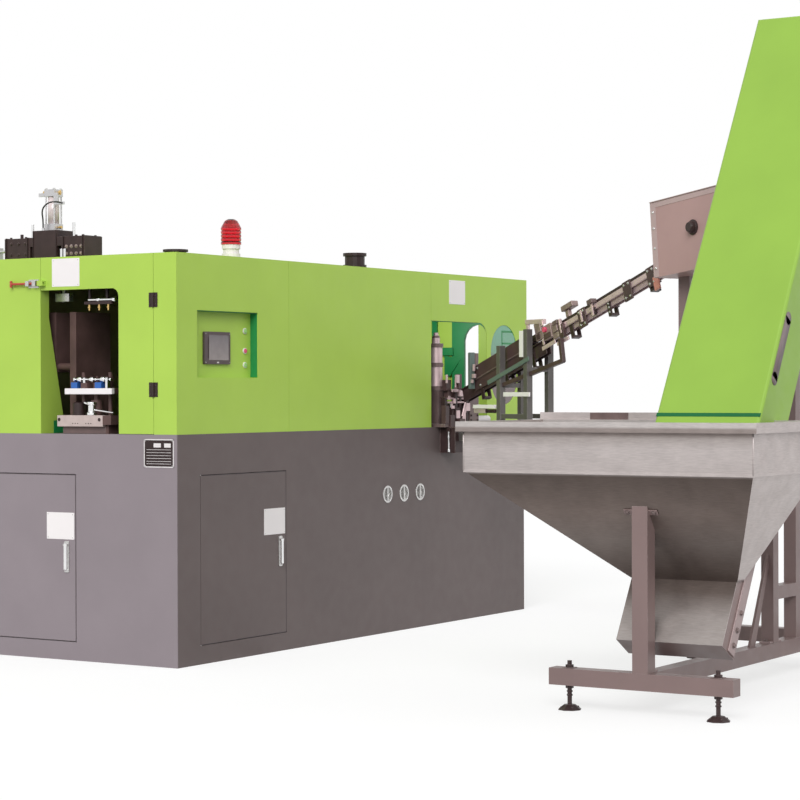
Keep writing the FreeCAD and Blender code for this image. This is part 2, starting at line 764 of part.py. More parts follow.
def fixed_spans():
    third = HINGE_HEIGHT / 3
    return (0, third - KNUCKLE_GAP), (2 * third + KNUCKLE_GAP, HINGE_HEIGHT)


def end_hinge_leaves():
    """Fixed leaves with their pins."""
    leaves = []
    for sill in (HINGE_LOW, HINGE_HIGH):
        axis = hinge_axis(sill)
        pin = rod(HINGE_PIN_RADIUS, axis, axis + V(0, 0, HINGE_HEIGHT))
        leaves.append(fuse(hinge_leaf(sill, -1, fixed_spans()), pin))
    return group(*leaves)


def end_door_leaves():
    """Leaves that move with the door, bored for the pins."""
    third = HINGE_HEIGHT / 3
    leaves = []
    for sill in (HINGE_LOW, HINGE_HIGH):
        axis = hinge_axis(sill)
        bore = rod(HINGE_PIN_RADIUS + RUN, axis, axis + V(0, 0, HINGE_HEIGHT))
        leaves.append(hinge_leaf(sill, 1, [(third, 2 * third)]).cut(bore))
    return group(*leaves)


def latch_body():
    """Bored guide of the slide latch on the fixed sheet."""
    y = (LATCH_START, LATCH_START + LATCH_LENGTH)
    half = LATCH_BODY / 2
    base = block((-HINGE_LEAF_THICKNESS, 0), y, (LATCH_HEIGHT - half, LATCH_HEIGHT + half))
    guides = []
    for start in (y[0], y[1] - LATCH_LENGTH / 3):
        guides.append(block((-STRIKER_REACH - LATCH_THICKNESS / 2, -HINGE_LEAF_THICKNESS),
                            (start, start + LATCH_LENGTH / 3),
                            (LATCH_HEIGHT - LATCH_THICKNESS / 2, LATCH_HEIGHT + LATCH_THICKNESS / 2)))
    start = V(-STRIKER_REACH, y[0] - 1, LATCH_HEIGHT)
    return fuse(base, *guides).cut(rod(LATCH_BOLT_RADIUS + RUN, start, start + V(0, LATCH_LENGTH + 2, 0)))


def latch_bolt():
    """Bolt with its T-shaped pull, drawn back out of the striker."""
    tip = V(-STRIKER_REACH, LATCH_START, LATCH_HEIGHT)
    tail = tip + V(0, LATCH_LENGTH + LATCH_THROW + LATCH_GRIP, 0)
    thick = LATCH_BOLT_RADIUS + 1
    tee = turned([(thick, -LATCH_TEE / 2), (thick, LATCH_TEE / 2)], tail, sides=12)
    return fuse(rod(LATCH_BOLT_RADIUS, tip, tail), tee)


# ---- controls and roof fittings
def operator_panel():
    """Housing of the touch screen with its sunk glass."""
    x = (PANEL_START, PANEL_START + PANEL_WIDTH)
    z = (PANEL_SILL, PANEL_SILL + PANEL_HEIGHT)
    front = RECESS_DEPTH - PANEL_PROUD
    body = slab(rectangle(x, z, PANEL_PROUD / 2), on_side(front), V(0, PANEL_PROUD, 0))
    return body.cut(block(inner(x, SCREEN_MARGIN), (front - 1, front + SCREEN_DEPTH), inner(z, SCREEN_MARGIN)))


def button_bezels():
    rings = []
    for height in BUTTON_HEIGHTS.values():
        seat = V(BUTTON_X, RECESS_DEPTH, height)
        outside = turned([(BEZEL_RADIUS, -BEZEL_DEPTH), (BEZEL_RADIUS, 0)], seat, V(0, 1, 0))
        rings.append(outside.cut(turned([(BUTTON_RADIUS + RUN, -BEZEL_DEPTH - 1), (BUTTON_RADIUS + RUN, 1)],
                                        seat, V(0, 1, 0))))
    return group(*rings)


def button(height):
    """Cap guided in its bezel, standing off the tray by its travel and a clearance."""
    front = V(BUTTON_X, RECESS_DEPTH - BUTTON_PROUD, height)
    length = BUTTON_PROUD - BUTTON_TRAVEL - KNUCKLE_GAP
    return turned([(BUTTON_RADIUS - 1, 0), (BUTTON_RADIUS, 1), (BUTTON_RADIUS, length)], front, V(0, 1, 0))


def beacon_base():
    x, y = BEACON_PLACE
    waist = BEACON_BASE_RADIUS - 6
    step = BEACON_BASE_HEIGHT / 3
    return turned([(BEACON_BASE_RADIUS, 0), (BEACON_BASE_RADIUS, step), (waist, step), (waist, 2 * step),
                   (BEACON_BASE_RADIUS, 2 * step), (BEACON_BASE_RADIUS, 3 * step)], V(x, y, MACHINE_TOP))


def beacon_dome():
    """Ribbed lens turned from one profile."""
    x, y = BEACON_PLACE
    pitch = DOME_HEIGHT * 0.72 / DOME_RIBS
    profile = []
    for rib in range(DOME_RIBS):
        low = rib * pitch
        profile += [(DOME_RADIUS, low + pitch * 0.1), (DOME_RADIUS, low + pitch * 0.6),
                    (DOME_RADIUS - DOME_GROOVE, low + pitch * 0.85)]
    profile[0] = (DOME_RADIUS, 0)
    profile += [(DOME_RADIUS - DOME_GROOVE, pitch * DOME_RIBS), (DOME_RADIUS * 0.62, DOME_HEIGHT - 8),
                (DOME_RADIUS * 0.35, DOME_HEIGHT)]
    return turned(profile, V(x, y, MACHINE_TOP + BEACON_BASE_HEIGHT))


def exhaust_stub():
    x, y = EXHAUST_PLACE
    lip = EXHAUST_HEIGHT / 5
    foot = V(x, y, MACHINE_TOP)
    body = turned([(EXHAUST_FLANGE, 0), (EXHAUST_FLANGE, lip), (EXHAUST_RADIUS, lip),
                   (EXHAUST_RADIUS, EXHAUST_HEIGHT - lip), (EXHAUST_FLANGE, EXHAUST_HEIGHT - lip),
                   (EXHAUST_FLANGE, EXHAUST_HEIGHT)], foot)
    return body.cut(turned([(EXHAUST_RADIUS - 5, lip), (EXHAUST_RADIUS - 5, EXHAUST_HEIGHT + 1)], foot))


def roof_vent():
    x, y = VENT_PLACE
    neck = VENT_RADIUS * 0.85
    return turned([(neck, 0), (neck, VENT_HEIGHT / 2), (VENT_RADIUS, VENT_HEIGHT / 2), (VENT_RADIUS, VENT_HEIGHT)],
                  V(x, y, MACHINE_TOP))


# ---- stretching and blowing unit
def unit_x():
    return (UNIT_X - UNIT_DEPTH / 2, UNIT_X + UNIT_DEPTH / 2)


def unit_y():
    return (UNIT_RIGHT, UNIT_LEFT)


def guide_places():
    return [UNIT_Y + offset for offset in GUIDE_OFFSETS]


def blowing_block():
    """Bridge on two feet round a taller core, bored for the guides and the piston."""
    deck = MACHINE_TOP
    top = deck + UNIT_HEIGHT
    bridge = block(unit_x(), unit_y(), (top - UNIT_BRIDGE, top))
    left = block(unit_x(), (UNIT_FOOT_LEFT, UNIT_LEFT), (deck, top))
    right = block(unit_x(), (UNIT_RIGHT, UNIT_FOOT_RIGHT), (deck, top))
    core = block(unit_x(), (UNIT_Y - UNIT_CORE_HALF, UNIT_Y + UNIT_CORE_HALF), (deck, deck + UNIT_CORE_HEIGHT))
    bores = []
    for y in guide_places():
        bores.append(rod(GUIDE_RADIUS + RUN, V(UNIT_X, y, deck - 1), V(UNIT_X, y, top + 1)))
    bores.append(rod(PISTON_RADIUS + RUN, V(UNIT_X, UNIT_Y, deck - 1),
                     V(UNIT_X, UNIT_Y, deck + UNIT_CORE_HEIGHT + 1)))
    x, y = KNOB_PLACE
    knob = turned([(GUIDE_RADIUS, top), (GUIDE_RADIUS, top + 3 * GUIDE_RADIUS)], V(x, y, 0), sides=12)
    return cut(fuse(bridge, left, right, core, knob), *bores)


def stretch_cylinder():
    """Tie-rod air cylinder on the core: two square caps, a barrel and four tie rods."""
    foot = MACHINE_TOP + UNIT_CORE_HEIGHT
    half = CYLINDER_SIDE / 2
    x = (UNIT_X - half, UNIT_X + half)
    y = (UNIT_Y - half, UNIT_Y + half)
    top = foot + CYLINDER_HEIGHT
    centre = V(UNIT_X, UNIT_Y, 0)
    parts = [block(x, y, (foot, foot + CYLINDER_CAP)), block(x, y, (top - CYLINDER_CAP, top)),
             turned([(CYLINDER_BARREL, foot), (CYLINDER_BARREL, top)], centre)]
    inset = half - CYLINDER_TIE - 2
    for side_x in (-1, 1):
        for side_y in (-1, 1):
            at = centre + V(side_x * inset, side_y * inset, 0)
            parts.append(turned([(CYLINDER_TIE, foot), (CYLINDER_TIE, top + CYLINDER_TIE)], at, sides=8))
    bore = rod(PISTON_RADIUS + RUN, centre + V(0, 0, foot - 1), centre + V(0, 0, piston_top() + SEAT))
    return fuse(*parts).cut(bore)


def piston_top():
    return MACHINE_TOP + UNIT_CORE_HEIGHT + CYLINDER_HEIGHT - CYLINDER_CAP


def air_fittings():
    """Elbow fittings on the cylinder and the core that the hose joins, and the fixed air pipe."""
    start = V(*HOSE_ROUTE[0])
    end = V(*HOSE_ROUTE[-1])
    side = UNIT_Y - CYLINDER_SIDE / 2
    port = CYLINDER_CAP / 2
    low = MACHINE_TOP + UNIT_CORE_HEIGHT + CYLINDER_HEIGHT - CYLINDER_CAP
    x = (start.x, start.x + 2 * FITTING_RADIUS)
    arm = block(x, (start.y - FITTING_RADIUS, side), (start.z - FITTING_RADIUS, start.z + FITTING_RADIUS))
    neck = block(x, (side - port, side), (start.z, low + port))
    stem = turned([(FITTING_RADIUS, MACHINE_TOP + UNIT_CORE_HEIGHT), (FITTING_RADIUS, end.z)], V(end.x, end.y, 0),
                  sides=12)
    far_side = UNIT_Y + CYLINDER_SIDE / 2
    spare = block(x, (far_side, far_side + 2 * port), (low, low + port))
    pipe_z = MACHINE_TOP + UNIT_HEIGHT / 2
    elbow = block((UNIT_X - 20, UNIT_X + 20), (UNIT_LEFT + 90, UNIT_LEFT + 140), (MACHINE_TOP, pipe_z + 20))
    pipe = turned([(PIPE_RADIUS, 0), (PIPE_RADIUS, 90)], V(UNIT_X, UNIT_LEFT, pipe_z), V(0, 1, 0), 12)
    return group(fuse(arm, neck), stem, spare, fuse(elbow, pipe))


def stretch_carriage():
    """Crosshead with its guide rods, the piston rod and two stretching rods."""
    low = mould_top() + STRETCH_TRAVEL + CROSSHEAD_GAP
    top = low + CROSSHEAD_THICKNESS
    reach = GUIDE_RADIUS * 2
    y = (min(guide_places()) - reach, max(guide_places()) + reach)
    half = CROSSHEAD_WIDTH / 2
    plate = block((UNIT_X - half, UNIT_X + half), y, (low, top))
    arm = CAVITY_PITCH / 2 + half
    cross = block((UNIT_X - arm, UNIT_X + arm), (UNIT_Y - half, UNIT_Y + half), (low, top))
    parts = [plate, cross]
    for place in guide_places():
        parts.append(rod(GUIDE_RADIUS, V(UNIT_X, place, low), V(UNIT_X, place, MACHINE_TOP + GUIDE_TOP)))
    parts.append(rod(PISTON_RADIUS, V(UNIT_X, UNIT_Y, low), V(UNIT_X, UNIT_Y, piston_top())))
    for x in cavity_places():
        parts.append(turned([(STRETCH_RADIUS, low - STRETCH_REACH), (STRETCH_RADIUS, low)], V(x, UNIT_Y, 0), sides=12))
    return fuse(*parts)


def cavity_places():
    return [UNIT_X - CAVITY_PITCH / 2, UNIT_X + CAVITY_PITCH / 2]


def route_bends(points, steps=4):
    """Points along straight runs joined by tangent arcs."""
    places = [points[0]]
    for before, here, after in zip(points, points[1:], points[2:]):
        back = before - here
        ahead = after - here
        reach = 0.45 * min(back.Length, ahead.Length)
        back.normalize()
        ahead.normalize()
        half = (math.pi - back.getAngle(ahead)) / 2
        radius = reach / math.tan(half)
        inward = (back + ahead).normalize()
        centre = here + inward * (radius / math.cos(half))
        for step in range(steps + 1):
            turn = half * (2 * step / steps - 1)
            places.append(centre - inward * (radius * math.cos(turn))
                          + (ahead - inward * inward.dot(ahead)).normalize() * (radius * math.sin(turn)))
    return places + [points[-1]]


def air_hose(sides=12):
    """Many-sided tube, mitred where its route turns."""
    places = route_bends([V(*place) for place in HOSE_ROUTE])
    run = (places[1] - places[0]).normalize()
    across = run.cross(V(0, 0, 1)).normalize()
    other = run.cross(across)
    turns = [2 * math.pi * number / sides for number in range(sides)]
    rings = [[places[0] + across * (HOSE_RADIUS * math.cos(turn)) + other * (HOSE_RADIUS * math.sin(turn))
              for turn in turns]]
    for number in range(1, len(places)):
        run = (places[number] - places[number - 1]).normalize()
        after = places[min(number + 1, len(places) - 1)] - places[number]
        mitre = run + after.normalize() if after.Length > 0 else run
        rings.append([point + run * ((places[number] - point).dot(mitre) / run.dot(mitre)) for point in rings[-1]])
    faces = [Part.Face(Part.makePolygon(loop + loop[:1])) for loop in (rings[0], rings[-1])]
    for low, high in zip(rings, rings[1:]):
        for start, end in zip(range(sides), list(range(1, sides)) + [0]):
            faces.append(Part.Face(Part.makePolygon([low[start], low[end], high[end], high[start], low[start]])))
    solid = Part.Solid(Part.Shell(faces))
    return solid if solid.Volume > 0 else solid.reversed()


# ---- mould station
def mould_x():
    return (UNIT_X - MOULD_LENGTH / 2, UNIT_X + MOULD_LENGTH / 2)


def mould_top():
    return MOULD_SILL + MOULD_HEIGHT


def bottle(x):
    """Bottle form that the two mould halves close round, neck up."""
    foot = MOULD_SILL + (MOULD_HEIGHT - BOTTLE_HEIGHT) / 2
    shoulder = foot + BOTTLE_HEIGHT - BOTTLE_SHOULDER
    return turned([(BOTTLE_RADIUS - 6, foot), (BOTTLE_RADIUS, foot + 6), (BOTTLE_RADIUS, shoulder),
                   (BOTTLE_NECK, shoulder + BOTTLE_SHOULDER), (BOTTLE_NECK, mould_top() + 1)], V(x, UNIT_Y, 0),
                  sides=16)


def mould_half(side):
    """Block with half of each bottle sunk in its parting face and bores for the tie bars."""
    near = UNIT_Y
    far = UNIT_Y + side * MOULD_DEPTH
    body = block(mould_x(), sorted((near, far)), (MOULD_SILL, mould_top()))
    tools = [bottle(x) for x in cavity_places()]
    tools += [rod(TIE_BAR_RADIUS + RUN, V(x, near - side, z), V(x, far + side, z)) for x, z in tie_places()]
    return cut(body, *tools)


def tie_places():
    x = inner(mould_x(), TIE_BAR_RADIUS + 9)
    z = inner((MOULD_SILL, mould_top()), TIE_BAR_RADIUS + 9)
    return [(x[0], z[0]), (x[1], z[1])]


def clamp_frame():
    """Two platens standing on the bed, joined by the bars that the mould halves slide on."""
    reach = MOULD_DEPTH + MOULD_TRAVEL + PLATEN_GAP
    front = UNIT_Y - reach - PLATEN_THICKNESS
    back = UNIT_Y + reach
    levels = (BASE_HEIGHT, mould_top())
    platens = [block(mould_x(), (y, y + PLATEN_THICKNESS), levels) for y in (front, back)]
    bars = [rod(TIE_BAR_RADIUS, V(x, front + PLATEN_THICKNESS, z), V(x, back, z)) for x, z in tie_places()]
    return group(*platens, *bars)


# ---- lifting table
def table_columns():
    inset = 2 * TABLE_COLUMN
    x = sum(TABLE_X) / 2
    return [(x, TABLE_Y[0] + inset), (x, TABLE_Y[1] - inset)]


def lift_foot():
    """Pedestal on the bed with two guide columns and the lifting ram's cylinder."""
    pedestal = block(inner(TABLE_X, 15), inner(TABLE_Y, 15), (BASE_HEIGHT, TABLE_FOOT))
    top = TABLE_FOOT + TABLE_FOOT_THICKNESS
    plate = block(inner(TABLE_X, -10), inner(TABLE_Y, -20), (TABLE_FOOT, top))
    reach = TABLE_SILL + TABLE_THICKNESS + TABLE_TRAVEL + TABLE_COLUMN
    parts = [pedestal, plate]
    parts += [rod(TABLE_COLUMN / 2, V(x, y, top), V(x, y, reach)) for x, y in table_columns()]
    x, y = ram_place()
    parts.append(turned([(2 * LIFT_RAM, top), (2 * LIFT_RAM, TABLE_SILL - 2 * LIFT_RAM)], V(x, y, 0), sides=16))
    bore = rod(LIFT_RAM + RUN, V(x, y, top), V(x, y, TABLE_SILL))
    return group(*[part.cut(bore) for part in parts])


def ram_place():
    return sum(TABLE_X) / 2, sum(TABLE_Y) / 2


def lift_table():
    """Table with its ram, two gripper blocks and a bar of fittings on top."""
    x, y = ram_place()
    top = TABLE_SILL + TABLE_THICKNESS
    plate = block(TABLE_X, TABLE_Y, (TABLE_SILL, top))
    ram = rod(LIFT_RAM, V(x, y, TABLE_FOOT + TABLE_FOOT_THICKNESS + SEAT), V(x, y, TABLE_SILL))
    parts = [plate, ram]
    block_size = 2 * TABLE_COLUMN
    for place in (TABLE_Y[0] + 3.2 * TABLE_COLUMN, TABLE_Y[1] - 5.2 * TABLE_COLUMN):
        parts.append(block((TABLE_X[0] + 8, TABLE_X[0] + 8 + block_size), (place, place + block_size),
                           (top, top + TABLE_THICKNESS)))
    for number in range(5):
        at = V(TABLE_X[1] - TABLE_COLUMN, y + (number - 2) * 1.6 * TABLE_COLUMN, top)
        parts.append(turned([(TABLE_COLUMN / 3, 0), (TABLE_COLUMN / 3, 2.2 * TABLE_THICKNESS)], at, sides=8))
    bores = [rod(TABLE_COLUMN / 2 + RUN, V(cx, cy, TABLE_SILL - 1), V(cx, cy, top + 1))
             for cx, cy in table_columns()]
    return fuse(*parts).cut(Part.makeCompound(bores))


# ---- preform infeed
def infeed_unit():
    """Bed plate, pillar, upright cylinder and slotted fork that take preforms off the chute."""
    deck = BASE_HEIGHT + INFEED_PLATE
    plate = block(INFEED_PLATE_X, INFEED_PLATE_Y, (BASE_HEIGHT, deck))
    box = block(INFEED_BOX_X, (-INFEED_BOX_DEPTH, 0), (INFEED_BOX_SILL, BASE_HEIGHT))
    here = V(ESCAPE_X, ESCAPE_Y, 0)
    half = ESCAPE_RADIUS
    pillar = block((ESCAPE_X - half, ESCAPE_X + half), (ESCAPE_Y - half, ESCAPE_Y + half), (deck, ESCAPE_SILL))
    band = ESCAPE_RADIUS + 6
    profile = []
    for z in (ESCAPE_SILL, (ESCAPE_SILL + ESCAPE_TOP) / 2, ESCAPE_TOP - ESCAPE_NOSE):
        profile += [(ESCAPE_RADIUS, z), (band, z), (band, z + ESCAPE_NOSE), (ESCAPE_RADIUS, z + ESCAPE_NOSE)]
    profile += [(ESCAPE_NOSE, ESCAPE_TOP), (ESCAPE_NOSE, ESCAPE_TOP + ESCAPE_NOSE_HEIGHT)]
    barrel = turned(profile[1:], here, sides=12)
    x = FORK_X
    middle = sum(x) / 2
    fork = slab([(x[0], deck), (x[1], deck), (x[1], FORK_TOP), (middle + FORK_SLOT / 2, FORK_TOP),
                 (middle + FORK_SLOT / 2, FORK_SILL, FORK_SLOT / 2.02), (middle - FORK_SLOT / 2, FORK_SILL,
                 FORK_SLOT / 2.02), (middle - FORK_SLOT / 2, FORK_TOP), (x[0], FORK_TOP)],
                on_side(FORK_Y), V(0, FORK_THICKNESS, 0))
    bearing = []
    for x0 in pusher_guides():
        bearing.append(block((x0, x0 + 2 * PUSHER_ROD), (pusher_y() - 2 * PUSHER_ROD, pusher_y() + 2 * PUSHER_ROD),
                             (deck, PUSHER_Z + 2 * PUSHER_ROD)))
    run = rod(PUSHER_ROD + RUN, V(INFEED_PLATE_X[0], pusher_y(), PUSHER_Z), V(INFEED_PLATE_X[1], pusher_y(), PUSHER_Z))
    return cut(fuse(plate, box, pillar, barrel, fork, *bearing), run)


def pusher_y():
    return INFEED_PLATE_Y[1] - 4 * PUSHER_ROD


def pusher_guides():
    start = ESCAPE_X + ESCAPE_RADIUS + PUSHER_ROD
    return (start, start + 8 * PUSHER_ROD)


def infeed_pusher():
    """Rod with a preform nest on its nose that slides in the two guides."""
    first, second = pusher_guides()
    y = pusher_y()
    start = first + PUSHER_ROD - PUSHER_TRAVEL
    end = second + 4 * PUSHER_ROD
    shaft = rod(PUSHER_ROD, V(start, y, PUSHER_Z), V(end, y, PUSHER_Z))
    nest = block((end, end + 5 * PUSHER_ROD), (y - 4 * PUSHER_ROD, y + 2 * PUSHER_ROD),
                 (PUSHER_Z - PUSHER_ROD, PUSHER_Z + 2 * PUSHER_ROD))
    pocket = rod(CHUTE_GAP / 2, V(end + 3 * PUSHER_ROD, y - 4 * PUSHER_ROD, PUSHER_Z - 2 * PUSHER_ROD),
                 V(end + 3 * PUSHER_ROD, y - 4 * PUSHER_ROD, PUSHER_Z + 3 * PUSHER_ROD))
    return fuse(shaft, nest).cut(pocket)


# ---- feed chute: X runs up the chute, Y to its near side, Z square to it
def chute_length():
    return (V(*CHUTE_HIGH) - V(*CHUTE_LOW)).Length


def chute_placement():
    line = (V(*CHUTE_HIGH) - V(*CHUTE_LOW)).normalize()
    across = V(0, 0, 1).cross(line).normalize()
    return FreeCAD.Placement(V(*CHUTE_LOW), FreeCAD.Rotation(line, across, line.cross(across), "XYZ"))


def along_chute(shape):
    """Place a shape drawn in the chute's own coordinates."""
    copy = shape.copy()
    copy.Placement = chute_placement()
    return copy


def chute_point(share, across, rise):
    """Place of a point given by its share of the chute's length, its side and its height off the rails."""
    return chute_placement().multVec(V(share * chute_length(), across, rise))


def chute_rails():
    """Two rails a preform's neck apart, with deeper walls and a hood over the lower stretch."""
    length = chute_length()
    half = CHUTE_GAP / 2
    pieces = []
    for side in (-1, 1):
        wall = sorted((side * half, side * (half + CHUTE_WALL)))
        rail = block((0, length), wall, (-CHUTE_DEPTH, 0))
        skirt = block((0, length * CHUTE_SKIRT_END), wall, (-CHUTE_DEPTH - CHUTE_SKIRT, -CHUTE_DEPTH))
        lip = sorted((side * half, side * (half + 3 * CHUTE_WALL)))
        pieces.append(fuse(rail, skirt, block((0, length), lip, (-CHUTE_WALL, 0))))
    return group(*[along_chute(piece).cut(along_sorter(sorter_body())) for piece in pieces])


def chute_clamps():
    """U-shaped ties under the rails, with the hood strip that keeps preforms down."""
    length = chute_length()
    half = CHUTE_GAP / 2 + CHUTE_WALL
    hood_half = CHUTE_GAP / 2 + 3 * CHUTE_WALL
    deep = CHUTE_DEPTH + CHUTE_SKIRT + CLAMP_HEIGHT
    parts = []
    for place in CLAMP_PLACES:
        x = (place * length - CLAMP_WIDTH / 2, place * length + CLAMP_WIDTH / 2)
        low = -deep if place < CHUTE_SKIRT_END else -CHUTE_DEPTH - CLAMP_HEIGHT
        yoke = block(x, (-half - CHUTE_WALL, half + CHUTE_WALL), (low, -CHUTE_WALL))
        yoke = yoke.cut(block(inner(x, -1), (-half, half), (low + CLAMP_HEIGHT / 4, 0)))
        arm = block(x, (half + CHUTE_WALL, hood_half + CHUTE_WALL), (-CHUTE_DEPTH, CHUTE_HOOD_HEIGHT))
        bridge = block(x, (-half, hood_half + CHUTE_WALL), (CHUTE_HOOD_HEIGHT, CHUTE_HOOD_HEIGHT + CHUTE_WALL))
        parts += [yoke, arm.cut(block(inner(x, -1), (half + CHUTE_WALL, hood_half), (-CHUTE_WALL, CHUTE_WALL / 2))),
                  bridge]
    tube = CHUTE_HOOD_HEIGHT + CHUTE_WALL + CHUTE_TUBE
    ends = (CLAMP_PLACES[0] * length - CLAMP_WIDTH, CLAMP_PLACES[-1] * length + CLAMP_WIDTH)
    parts.append(block(ends, (-CHUTE_TUBE, CHUTE_TUBE), (tube - CHUTE_TUBE, tube + CHUTE_TUBE)))
    return along_chute(fuse(*parts))


def span_of(line):
    """Length of a line seen in plan."""
    return math.hypot(line.x, line.y)


def chute_stand():
    """Two pairs of posts on a bracket off the base, with cross bars that carry the chute."""
    half = STAND_POST / 2
    bar = STAND_BAR / 2
    line = V(*CHUTE_HIGH) - V(*CHUTE_LOW)
    turn = math.degrees(math.atan2(line.y, line.x))
    under = -CHUTE_DEPTH - CHUTE_SKIRT - CLAMP_HEIGHT
    parts = []
    for share in STAND_POSTS:
        for side in (-1, 1):
            at = chute_point(share, side * STAND_OFFSET, under)
            shape = block((-half, half), (-half, half), (STAND_FOOT, at.z + STAND_RISE))
            parts.append(moved(shape, at.x, at.y, 0, turn))
        at = chute_point(share, 0, under)
        seat = at.z + STAND_BITE
        tie = block((-bar, bar), (-STAND_OFFSET, STAND_OFFSET), (seat - STAND_BAR, seat))
        parts.append(moved(tie, at.x, at.y, 0, turn))
    first = chute_point(STAND_POSTS[0], 0, under)
    span = span_of(chute_point(STAND_POSTS[1], 0, under) - first)
    reach = first.y / math.sin(math.radians(turn))
    for side in (-1, 1):
        across = (side * STAND_OFFSET - bar, side * STAND_OFFSET + bar)
        for level in (STAND_FOOT, BASE_HEIGHT + 2 * STAND_BAR):
            rail = block((0, span), across, (level, level + STAND_BAR))
            parts.append(moved(rail, first.x, first.y, 0, turn))
        arm = block((-reach - STAND_OFFSET, 0), across, (STAND_FOOT, STAND_FOOT + STAND_BAR * 2))
        parts.append(moved(arm, first.x, first.y, 0, turn))
    behind = block((BASE_SHEET, COVER_LENGTH), (0, MACHINE_WIDTH), (0, MACHINE_TOP))
    trimmed = [cut(part, behind, infeed_unit(), chute_clamps()) for part in parts]
    return butted(*trimmed)


# ---- roller sorter: X runs on from the chute's upper end, Y to its near side
def sorter_placement():
    line = V(*CHUTE_HIGH) - V(*CHUTE_LOW)
    turn = FreeCAD.Rotation(V(0, 0, 1), math.degrees(math.atan2(line.y, line.x)))
    return FreeCAD.Placement(V(*CHUTE_HIGH), turn.multiply(FreeCAD.Rotation(V(0, 1, 0), -SORTER_TILT)))


def along_sorter(shape):
    """Place a shape drawn in the sorter's own coordinates."""
    copy = shape.copy()
    copy.Placement = sorter_placement()
    return copy


def sorter_x():
    return (0, SORTER_LENGTH)


def roller_lines():
    reach = ROLLER_GAP / 2 + ROLLER_RADIUS
    return (-reach, reach)


def sorter_body():
    """Outside of the trough and of the drive's case behind it."""
    x = sorter_x()
    y = (-SORTER_WIDTH / 2, SORTER_WIDTH / 2)
    trough = block(x, y, (-SORTER_SINK, SORTER_RISE))
    case = block((x[1], x[1] + DRIVE_LENGTH), inner(y, SORTER_WIDTH / 5), (-SORTER_SINK, ROLLER_RADIUS))
    return fuse(trough, case)


def sorter_axis(y):
    """Plan position where the sorter's middle line crosses a given Y."""
    low = V(*CHUTE_LOW)
    line = V(*CHUTE_HIGH) - low
    return low.x + line.x * (y - low.y) / line.y


def sorter_leg_places():
    near = sorter_placement().multVec(V(SORTER_LEG_INSET, 0, 0))
    return [(near.x, near.y), (sorter_axis(BEAM_Y), BEAM_Y)]


def sorter_housing():
    """Open trough whose thick end plates carry the rollers, with the drive's case behind."""
    x = sorter_x()
    y = (-SORTER_WIDTH / 2, SORTER_WIDTH / 2)
    z = (-SORTER_SINK, SORTER_RISE)
    ends = [block((x[0], x[0] + SORTER_PLATE), y, z), block((x[1] - SORTER_PLATE, x[1]), y, z)]
    sheets = [block(x, (y[0], y[0] + SORTER_WALL), z), block(x, (y[1] - SORTER_WALL, y[1]), z),
              block(x, y, (z[0], z[0] + SORTER_WALL))]
    case = block((x[1], x[1] + DRIVE_LENGTH), inner(y, SORTER_WIDTH / 5), (z[0], ROLLER_RADIUS))
    gate = block((x[0] - 1, x[0] + SORTER_PLATE + 1), (-CHUTE_GAP, CHUTE_GAP), (-ROLLER_RADIUS / 2 - 10, ROLLER_RISE))
    drop = -ROLLER_RADIUS / 2
    bores = [rod(ROLLER_SHAFT + RUN, V(x[0] - 1, line, drop), V(x[1], line, drop)) for line in roller_lines()]
    return along_sorter(cut(butted(*ends, *sheets, case), gate, *bores))


def sorter_roller(line):
    """Long roller turned down to its shafts."""
    x = sorter_x()
    drop = -ROLLER_RADIUS / 2
    face = inner(x, SORTER_PLATE + SEAT)
    body = turned([(ROLLER_RADIUS - SEAT, face[0]), (ROLLER_RADIUS - SEAT, face[1])], V(0, line, drop), V(1, 0, 0))
    shaft = rod(ROLLER_SHAFT, V(x[0] - 2 * ROLLER_SHAFT, line, drop), V(x[1], line, drop))
    return along_sorter(fuse(body, shaft))


# ---- elevator: drawn upright with the belt's carrying run at X 0, then leant back
def leant(shape):
    copy = shape.copy()
    copy.rotate(V(0, 0, 0), V(0, 1, 0), ELEVATOR_LEAN)
    copy.translate(V(ELEVATOR_FOOT[0], 0, ELEVATOR_FOOT[1]))
    return copy


def elevator_hood():
    """Green casing over the belt: a front sheet with rounded edges, two sides and a closed top."""
    deep = (HOOD_FRONT, ELEVATOR_BACK)
    outer = rounded_hood(deep, ELEVATOR_Y, ELEVATOR_LENGTH, HOOD_CORNER)
    hollow = rounded_hood((deep[0] + COVER_SHEET, deep[1] + 1), inner(ELEVATOR_Y, COVER_SHEET),
                          ELEVATOR_LENGTH - COVER_SHEET, HOOD_CORNER - COVER_SHEET)
    opening = block((deep[0] - 1, deep[1] + 2), inner(ELEVATOR_Y, -1), (HOOD_START - HOOD_CORNER * 4, HOOD_START))
    return leant(cut(outer, hollow, opening))


def rounded_hood(deep, wide, top, radius):
    """Solid with its two upright front edges and its front top edge rounded."""
    body = block(deep, wide, (HOOD_START - HOOD_CORNER, top))
    edges = [edge for edge in body.Edges if edge.BoundBox.XMax < deep[0] + 0.1
             and (edge.BoundBox.ZLength > 1 or edge.BoundBox.ZMin > top - 0.1)]
    return body.makeFillet(radius, edges)


